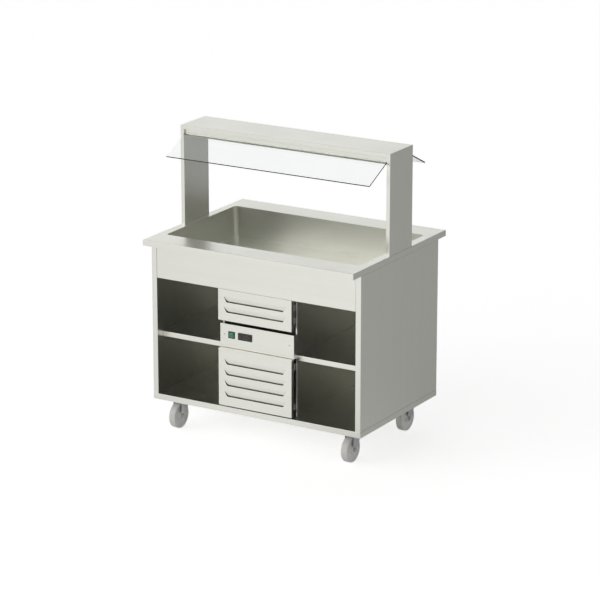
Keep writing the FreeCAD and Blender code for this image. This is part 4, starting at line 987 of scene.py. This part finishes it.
@dataclass
class Controls:
    """The green rocker switch, the controller with its display and keys, and the panel's screws."""

    nodes: Dict[str, bpy.types.Object]
    face: float = -351.0
    height: float = 536.0
    switch_x: float = -140.0
    switch_front: float = -354.0
    switch_half: float = 16.0
    bezel_round: float = 1.4
    rocker_front: float = -356.0
    rocker_tilt: float = 14.0
    off_mark: Tuple[float, float, float] = (2.1, 0.7, 7.4)
    on_mark: Tuple[float, float, float] = (0.4, 0.3, 2.3)
    on_mark_place: Tuple[float, float] = (1.62, 7.2)
    display_x: float = -65.0
    display_front: float = -355.0
    display_half: Tuple[float, float] = (37.0, 16.0)
    display_round: float = 1.6
    digit_half: Tuple[float, float] = (2.4, 4.5)
    digit_pitch: float = 7.4
    stroke: float = 0.95
    reading: Tuple[str, ...] = ("abcdef", "bc")
    key_mark: float = 1.2
    screw_x: float = 179.0
    screw_radius: float = 3.5
    screw_head: float = 1.6
    screw_slot: Tuple[float, float] = (2.1, 0.45)
    slot_reach: Tuple[float, float] = (3.0, 0.7)
    shank_radius: float = 2.0
    shank: float = 8.0

    def build(self) -> None:
        """Model the switch, the controller and the screws."""
        self.switch()
        self.controller()
        self.digits()
        for name in ("key_up", "key_down", "key_set"):
            self.key(name)
        self.screws()

    def switch(self) -> None:
        """The bezel with a rounded front, and the rocker with its two marks."""
        front = lying(Along.Y, self.switch_front)
        bezel = Workpiece.cast("switch_bezel_detail", self.nodes["switch_bezel"])
        bezel.pick_edges(lambda a, b: front(a, b) and max(abs(a.x - self.switch_x), abs(b.x - self.switch_x))
                         > self.switch_half).bevel(self.bezel_round, 3)
        bezel.ease(0.25, 2)
        bezel.done("root", Palette.BLACK, "black_plastic", "switch_bezel")
        rocker = Workpiece.cast("switch_rocker_detail", self.nodes["switch_rocker"]).ease(0.6, 3, 12.0)
        rocker.done("rocker", Palette.GREEN, "green_plastic", "switch_rocker")
        radius, thickness, above = self.off_mark
        off = Workpiece.ring("off", radius, thickness, (0.0, 0.0, 0.0), Along.Y)
        off.moved((self.switch_x, self.rocker_front - 0.02, self.height + above))
        half = Vector(self.on_mark)
        behind, below = self.on_mark_place
        on = Workpiece.block("on", -half, half).ease(0.15, 1)
        on.moved((self.switch_x, self.rocker_front + behind, self.height - below), self.rocker_tilt)
        joined("switch_marks", [off, on]).done("rocker", Palette.PRINT, "green_plastic")

    def controller(self) -> None:
        """The controller's housing with a rounded front, and its window in a shallow frame."""
        front = lying(Along.Y, self.display_front)
        half_x, half_z = self.display_half

        def is_rim(a: Vector, b: Vector) -> bool:
            return front(a, b) and (max(abs(a.x - self.display_x), abs(b.x - self.display_x)) > half_x
                                    or max(abs(a.z - self.height), abs(b.z - self.height)) > half_z)

        body = Workpiece.cast("controller_detail", self.nodes["controller_body"])
        body.pick_edges(is_rim).bevel(self.display_round, 3)
        body.ease(0.25, 2)
        body.done("root", Palette.BLACK, "black_plastic", "controller_body")
        window = Workpiece.cast("controller_window_detail", self.nodes["controller_window"])
        window.pick_faces(facing(Along.Y, -1)).inset(0.5).inset(0.3, -0.3)
        window.done("root", Palette.WINDOW, "dark_window", "controller_window")

    def digits(self) -> None:
        """The two glowing digits of the temperature."""
        half_x, half_z = self.digit_half
        front = self.display_front
        strokes = []
        for index, lit in enumerate(self.reading):
            middle = self.display_x + (index - (len(self.reading) - 1) / 2) * self.digit_pitch
            for letter in lit:
                aside, above, level = SEGMENTS[letter]
                wide = half_x - 0.6 if level else self.stroke / 2
                tall = self.stroke / 2 if level else half_z / 2 - 0.3
                x, z = middle + aside * half_x, self.height + above * half_z
                strokes.append(Workpiece.block("stroke", (x - wide, front + 0.02, z - tall),
                                               (x + wide, front + 0.4, z + tall)).ease(0.12, 1))
        joined("display_digits", strokes).done("root", Palette.LIT, "dark_window")

    def key(self, name: str) -> None:
        """One key with rounded edges and a raised arrow or dot."""
        low, high = node_corners(name)
        middle = (low + high) / 2
        key = Workpiece.cast(name + "_detail", self.nodes[name])
        key.pick_edges(lying(Along.Y, low.y)).bevel(0.5, 3)
        turn = {"key_up": 90.0, "key_down": 270.0}.get(name, 0.0)
        sides = 24 if name == "key_set" else 3
        start = Vector((middle.x, low.y - 0.1, middle.z))
        mark = Workpiece.bar("mark", self.key_mark, start, start + Along.Y.vector * 0.5, sides, turn)
        key.take_in(mark.ease(0.05, 1))
        key.done(name, Palette.KEY, "grey_plastic", name)

    def screws(self) -> None:
        """Pan-head screws with a cross recess at both ends of the panel."""
        front = self.face - self.screw_head
        model = Workpiece.bar("screw", self.screw_radius, (0.0, self.face, self.height),
                              (0.0, front, self.height), 40)
        model.pick_edges(lying(Along.Y, front)).bevel(1.1, 4)
        long, short = self.screw_slot
        outer, inner = self.slot_reach
        for wide, tall in ((long, short), (short, long)):
            model.cut(Workpiece.block("slot", (-wide, self.face - outer, self.height - tall),
                                      (wide, self.face - inner, self.height + tall)))
        shank = Workpiece.bar("shank", self.shank_radius, (0.0, self.face + self.shank, self.height),
                              (0.0, self.face - 0.4, self.height), 24)
        shank.pick_faces(facing(Along.Y, 1)).inset(1.4, 1.0)
        model.take_in(shank)
        pair = [model.copied("screw", (side * self.screw_x, 0.0, 0.0)) for side in (-1.0, 1.0)]
        model.drop()
        joined("panel_screws_detail", pair).done("root", Palette.ZINC, "stainless", "panel_screws")


# ---------------------------------------------------------------- condensing unit

@dataclass
class CoolingUnit:
    """What shows through the louvres: condenser, fan and motor, compressor and lines."""

    nodes: Dict[str, bpy.types.Object]
    fins: int = 96
    fin_pitch: float = 3.0
    fin_sheet: float = 0.35
    fin_gap: float = 1.0
    end_plate: float = 1.6
    tubes: int = 8
    tube_pitch: float = 26.0
    tube_low: float = 19.0
    tube_size: float = 7.0
    hub_radius: float = 25.0
    hub_length: float = 24.0
    hub_round: float = 6.0
    shaft_radius: float = 3.0
    blades: int = 5
    blade_thickness: float = 1.4
    blade_root: float = 20.0
    blade_end: float = 75.0
    root_half: float = 15.0
    tip_half: float = 22.5
    blade_twist: float = -12.0
    blade_pitch: float = 34.0
    motor_round: float = 9.0
    motor_side: float = 25.0
    shell_radius: float = 80.0
    shell_round: float = 34.0
    seam_height: float = 5.0
    foot_height: float = 14.0
    foot_plate: float = 2.0
    foot_radius: float = 10.0
    foot_place: Tuple[float, float] = (81.0, 61.0)
    terminals: Tuple[float, float, float] = (22.0, 130.0, 80.0)
    terminals_depth: Tuple[float, float] = (3.0, 40.0)

    def build(self) -> None:
        """Model the unit's pieces."""
        self.condenser()
        self.tube_bundle()
        self.fan()
        self.motor()
        self.compressor()
        lines = Workpiece.cast("refrigerant_lines_detail", self.nodes["refrigerant_pipes"]).ease(1.3, 3)
        lines.done("root", Palette.COPPER, "copper", "refrigerant_pipes")

    def condenser(self) -> None:
        """Thin fins between two end plates and two rails."""
        low, high = node_corners("condenser")
        first = -(self.fins - 1) * self.fin_pitch / 2
        half, gap, sheet = self.fin_sheet / 2, self.fin_gap, self.end_plate
        fins = Workpiece.block("condenser_fins", (first - half, low.y + gap, low.z + gap),
                               (first + half, high.y - gap, high.z - gap))
        fins.repeat(self.fins, (self.fin_pitch, 0.0, 0.0))
        frame = [Workpiece.block("end_plate", (x, low.y, low.z), (x + sheet, high.y, high.z)).ease(0.4, 1)
                 for x in (low.x, high.x - sheet)]
        frame += [Workpiece.block("rail", (low.x + sheet, low.y, z),
                                  (high.x - sheet, high.y, z + sheet)).ease(0.4, 1)
                  for z in (low.z, high.z - sheet)]
        fins.take_in(*frame).done("root", Palette.ALUMINIUM, "aluminium", "condenser")

    def tube_bundle(self) -> None:
        """The condenser's tubes, joined by bends at alternate ends."""
        low, high = node_corners("condenser")
        middle = (low.y + high.y) / 2
        heights = [low.z + self.tube_low + row * self.tube_pitch for row in range(self.tubes)]
        pieces = [Workpiece.bar("tube", self.tube_size / 2, (low.x - 0.5, middle, z),
                                (high.x + 0.5, middle, z), 20) for z in heights]
        for row, z in enumerate(heights[:-1]):
            side, inward = (high.x, -1.0) if row % 2 else (low.x, 1.0)
            bend = Workpiece.ring("bend", self.tube_pitch / 2, self.tube_size,
                                  (side, middle, z + self.tube_pitch / 2), Along.Y)
            bend.pick_faces(lambda place, normal: True)
            bpy.ops.mesh.bisect(plane_co=(side * MM, 0.0, 0.0), plane_no=(inward, 0.0, 0.0),
                                clear_outer=True, use_fill=True)
            pieces.append(bend)
        joined("condenser_tubes", pieces).done("root", Palette.COPPER, "copper")

    def blade(self) -> Workpiece:
        """One blade, wider towards its tip, twisted and pitched, standing up from the origin."""
        half = self.blade_thickness / 2
        blade = Workpiece.block("blade", (-self.root_half, -half, self.blade_root),
                                (self.root_half, half, self.blade_end))
        blade.pick_faces(facing(Along.Z, 1))
        bpy.ops.transform.resize(value=(self.tip_half / self.root_half, 1.0, 1.0),
                                 center_override=(0.0, 0.0, 0.0))
        blade.pick_edges(across(Along.Y))
        bpy.ops.mesh.subdivide(number_cuts=7)
        blade.modify("SIMPLE_DEFORM", deform_method="TWIST", deform_axis="Z",
                     angle=math.radians(self.blade_twist))
        return blade.ease(0.4, 1, 60.0).moved(turn=self.blade_pitch, axis=Along.Z)

    def fan(self) -> None:
        """A domed hub and five twisted blades."""
        low, high = node_corners("fan_rotor")
        centre = (low + high) / 2
        x, z = centre.x, centre.z
        front, back = low.y, low.y + self.hub_length
        hub = Workpiece.bar("fan_detail", self.hub_radius, (x, front, z), (x, back, z))
        hub.pick_edges(lying(Along.Y, front)).bevel(self.hub_round, 5)
        blade = self.blade()
        step = 360.0 / self.blades
        blades = [blade.copied("blade").moved((x, front + self.hub_length / 2, z), step * index, Along.Y)
                  for index in range(self.blades)]
        blade.drop()
        shaft = Workpiece.bar("shaft", self.shaft_radius, (x, back - 1.0, z), (x, high.y, z), 24)
        shaft.pick_faces(facing(Along.Y, 1)).inset(0.6, 0.6)
        hub.take_in(*blades, shaft).done("fan", Palette.ALUMINIUM, "fan_blades", "fan_rotor")

    def motor(self) -> None:
        """The motor's can with its stepped end cap."""
        motor = Workpiece.cast("fan_motor_detail", self.nodes["fan_motor"])
        motor.pick_edges(lambda a, b: abs(a.y - b.y) > LONG
                         and abs(a.x) > self.motor_side).bevel(self.motor_round, 5)
        motor.pick_faces(facing(Along.Y, 1)).inset(5.0, -1.5).inset(8.0, 1.0)
        motor.ease(0.8, 2).done("root", Palette.ENAMEL, "black_steel", "fan_motor")

    def compressor(self) -> None:
        """A drawn shell with domed ends and a welded seam, on its foot plate."""
        low, high = node_corners("compressor")
        centre = (low + high) / 2
        plate_bottom = low.z + self.foot_height
        plate_top = plate_bottom + self.foot_plate
        shell = Workpiece.bar("compressor_detail", self.shell_radius, (centre.x, centre.y, plate_top),
                              (centre.x, centre.y, high.z), 72)
        shell.pick_edges(across(Along.Z)).bevel(self.shell_round, 9)
        seam = Workpiece.bar("seam", self.shell_radius - 0.2, (0.0, 0.0, 0.0),
                             (0.0, 0.0, self.seam_height), 72)
        seam.ease(1.2, 2).moved((centre.x, centre.y, (plate_top + high.z) / 2))
        plate = Workpiece.block("plate", (low.x, low.y + 5.0, plate_bottom),
                                (high.x, high.y - 5.0, plate_top)).ease(0.6, 2)
        half, drop_bottom, drop_top = self.terminals
        near, far = self.terminals_depth
        terminals = Workpiece.block("terminals", (centre.x - half, low.y + near, high.z - drop_bottom),
                                    (centre.x + half, low.y + far, high.z - drop_top)).ease(4.0, 4)
        step_x, step_y = self.foot_place
        feet = []
        for x in (centre.x - step_x, centre.x + step_x):
            for y in (centre.y - step_y, centre.y + step_y):
                foot = Workpiece.bar("foot", self.foot_radius, (x, y, low.z), (x, y, plate_bottom), 28)
                feet.append(foot.pick_faces(around(Along.Z)).inset(3.0, -2.0))
        shell.take_in(seam, plate, terminals, *feet)
        shell.done("root", Palette.ENAMEL, "compressor_black", "compressor")


# ---------------------------------------------------------------- fittings

@dataclass
class Fittings:
    """The mains lead's gland on the back and the drain's valve, lever and outlet."""

    nodes: Dict[str, bpy.types.Object]
    gland_x: float = 150.0
    gland_z: float = 208.0
    face: float = 371.0
    collar_flats: float = 22.0
    collar: float = 8.0
    nut: Tuple[float, float] = (-6.5, -1.5)
    cap: float = 10.0
    cap_radius: float = 8.4
    cap_round: float = 2.6
    lip: float = 1.8
    ribs: int = 12
    rib_radius: float = 0.8
    rib_place: float = 8.3
    rib_end: float = 3.4

    def build(self) -> None:
        """Model the fittings."""
        self.gland()
        for name, node, ease, segments, body, finish, slot in (
                ("drain_valve_detail", "drain_valve_body", 1.6, 3, "root", Palette.BRASS, "valve_brass"),
                ("valve_lever_detail", "drain_valve_lever", 0.9, 3, "valve_lever", Palette.RED, "lever_red"),
                ("drain_pipe_detail", "drain_pipe", 0.5, 2, "root", Palette.TUBE, "drain_tube")):
            Workpiece.cast(name, self.nodes[node]).ease(ease, segments).done(body, finish, slot, node)

    def gland(self) -> None:
        """A hexagonal collar, a round ridged cap with an open bore, and the nut inside."""
        x, z = self.gland_x, self.gland_z
        seat = self.face + self.collar
        end = seat + self.cap
        collar = hexagon("gland_detail", self.collar_flats, (x, self.face, z), (x, seat, z))
        cap = Workpiece.bar("cap", self.cap_radius, (x, seat, z), (x, end, z))
        cap.pick_edges(lying(Along.Y, end)).bevel(self.cap_round, 4)
        cap.pick_faces(facing(Along.Y, 1)).inset(self.lip).inset(0.2, -9.0)
        ribs = []
        for index in range(self.ribs):
            turn = 2 * math.pi * index / self.ribs
            rib_x, rib_z = x + self.rib_place * math.cos(turn), z + self.rib_place * math.sin(turn)
            ribs.append(Workpiece.bar("rib", self.rib_radius, (rib_x, seat, rib_z),
                                      (rib_x, end - self.rib_end, rib_z), 10).ease(0.2, 1))
        inner, outer = (self.face + offset for offset in self.nut)
        nut = hexagon("nut", self.collar_flats, (x, inner, z), (x, outer, z))
        collar.take_in(cap, nut, *ribs).done("root", Palette.BLACK, "black_plastic", "cable_gland")


# ---------------------------------------------------------------- studio

def toward(azimuth: float, elevation: float = 0.0) -> Triple:
    """The unit vector towards a direction: 0 is the front, 90 the right-hand side."""
    turn, rise = math.radians(azimuth), math.radians(elevation)
    return (math.sin(turn) * math.cos(rise), -math.cos(turn) * math.cos(rise), math.sin(rise))


@dataclass(frozen=True)
class Lamp:
    """One soft area lamp, aimed at a point."""

    name: str
    place: Triple
    width: float
    height: float
    watts: float
    aim: Triple = (0.0, 0.0, 0.7)

    def hang(self) -> None:
        """Add the lamp to the scene."""
        data = bpy.data.lights.new(self.name, "AREA")
        data.shape = "RECTANGLE"
        data.size = self.width
        data.size_y = self.height
        data.energy = self.watts
        lamp = bpy.data.objects.new(self.name, data)
        bpy.context.scene.collection.objects.link(lamp)
        lamp.location = self.place
        lamp.rotation_euler = (Vector(self.aim) - Vector(self.place)).to_track_quat("-Z", "Y").to_euler()


@dataclass(frozen=True)
class Glow:
    """A broad soft patch of light, brightest in one direction and fading to its sides."""

    azimuth: float
    strength: float
    elevation: float = 0.0
    tightness: float = 2.0

    def draw(self, graph: Graph, direction: Socket) -> Socket:
        """Add the patch to a node tree and return its strength along a direction."""
        facing = graph.add("ShaderNodeVectorMath", {0: direction, 1: toward(self.azimuth, self.elevation)},
                           operation="DOT_PRODUCT").outputs["Value"]
        lobe = graph.math("POWER", graph.math("MAXIMUM", facing, 0.0), self.tightness)
        return graph.math("MULTIPLY", lobe, self.strength)


def walls(azimuth: float, strength: float) -> Glow:
    """A glow of the studio's walls, a little above the horizon."""
    return Glow(azimuth, strength, 12.0, 4.0)


def summed(graph: Graph, glows: Sequence[Glow], direction: Socket) -> Socket:
    """Add up several glows along one direction."""
    total = glows[0].draw(graph, direction)
    for glow in glows[1:]:
        total = graph.math("ADD", total, glow.draw(graph, direction))
    return total


@dataclass
class Studio:
    """Floor, surroundings, lamps and the camera that took the photograph."""

    floor_half: float = 40.0
    floor_colour: Colour = (0.80, 0.80, 0.80)
    floor_lift: float = 0.66
    camera_place: Triple = (6.9515, -11.5666, 4.6896)
    camera_aim: Triple = (0.0197, 0.0118, 0.6404)
    lens_mm: float = 176.3
    sensor_mm: float = 36.0
    wall_glows: List[Glow] = field(default_factory=lambda: [
        walls(315.0, 1.575), walls(225.0, 1.00), walls(90.0, 0.89), walls(45.0, 0.27),
        walls(180.0, 0.27), walls(270.0, 0.08)])
    # painted pools of light on the floor, seen only in reflections: brightest towards the front, the
    # front-left and the right
    painted_floor_glows: List[Glow] = field(default_factory=lambda: [
        Glow(0.0, 0.41), Glow(315.0, 0.28), Glow(90.0, 0.16)])
    lamps: List[Lamp] = field(default_factory=lambda: [
        Lamp("lamp_front", (0.0, -5.0, 2.4), 3.0, 2.4, 24.0),
        Lamp("lamp_front_left", (-3.2, -4.6, 3.0), 2.4, 2.4, 10.5)])

    def build(self) -> None:
        """Set up everything that isn't part of the object."""
        self.lay_floor()
        self.surround()
        for lamp in self.lamps:
            lamp.hang()
        self.place_camera()
        bpy.context.scene.view_settings.view_transform = "Standard"
        LOG.info("studio: floor, surroundings, %d lamps and the camera", len(self.lamps))

    def lay_floor(self) -> None:
        """A plain pale floor that keeps the shadow, and looks white where it is lit. Seen in reflections
        only, it carries painted pools of light, brightest towards the front, the front-left and the right.
        """
        deselect()
        bpy.ops.mesh.primitive_plane_add(size=2 * self.floor_half)
        floor = bpy.context.object
        floor.name = "floor"
        material, graph = started("pale_floor")
        path = graph.add("ShaderNodeLightPath")
        place = graph.add("ShaderNodeTexCoord").outputs["Object"]
        outward = graph.add("ShaderNodeVectorMath", {0: place}, operation="NORMALIZE").outputs[0]
        seen = graph.math("MAXIMUM", path.outputs["Is Camera Ray"], path.outputs["Is Transmission Ray"])
        lift = graph.math("MULTIPLY", seen, self.floor_lift)
        # painted pools of light: emission on the floor by position, added only where a reflection sees the
        # floor
        glow = graph.math("MULTIPLY", path.outputs["Is Glossy Ray"],
                          summed(graph, self.painted_floor_glows, outward))
        matt = graph.add("ShaderNodeBsdfDiffuse", {"Color": rgba(self.floor_colour)})
        light = graph.add("ShaderNodeEmission", {"Strength": graph.math("ADD", lift, glow)})
        both = graph.add("ShaderNodeAddShader", {0: matt.outputs[0], 1: light.outputs[0]})
        graph.add("ShaderNodeOutputMaterial", {"Surface": both.outputs[0]})
        floor.data.materials.append(material)

    def surround(self) -> None:
        """White to the eye and through glass, and soft patches of light for everything else."""
        world = bpy.data.worlds.new("studio")
        bpy.context.scene.world = world
        world.use_nodes = True
        graph = Graph(world.node_tree)
        path = graph.add("ShaderNodeLightPath")
        seen = graph.math("MAXIMUM", path.outputs["Is Camera Ray"], path.outputs["Is Transmission Ray"])
        unseen = graph.math("SUBTRACT", 1.0, seen)
        direction = graph.add("ShaderNodeTexCoord").outputs["Generated"]
        glow = graph.math("MULTIPLY", unseen, summed(graph, self.wall_glows, direction))
        strength = graph.math("ADD", seen, glow)
        light = graph.add("ShaderNodeBackground", {"Color": (1.0, 1.0, 1.0, 1.0), "Strength": strength})
        graph.add("ShaderNodeOutputWorld", {"Surface": light.outputs[0]})

    def place_camera(self) -> None:
        """The camera, fitted to the photograph's straight edges."""
        data = bpy.data.cameras.new("camera")
        data.lens = self.lens_mm
        data.sensor_width = self.sensor_mm
        camera = bpy.data.objects.new("camera", data)
        bpy.context.scene.collection.objects.link(camera)
        camera.location = self.camera_place
        aim = Vector(self.camera_aim) - Vector(self.camera_place)
        camera.rotation_euler = aim.to_track_quat("-Z", "Y").to_euler()
        bpy.context.scene.camera = camera


def main() -> None:
    """Build the salad bar's looks, sub-assembly by sub-assembly."""
    logging.basicConfig(level=logging.INFO, format="%(name)s: %(message)s")
    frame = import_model()
    nodes = frame["nodes"]
    dress_nodes(nodes)
    for part in (Castors(nodes), Controls(nodes), CoolingUnit(nodes), Fittings(nodes)):
        part.build()
    Studio().build()


if __name__ == "__main__":
    main()
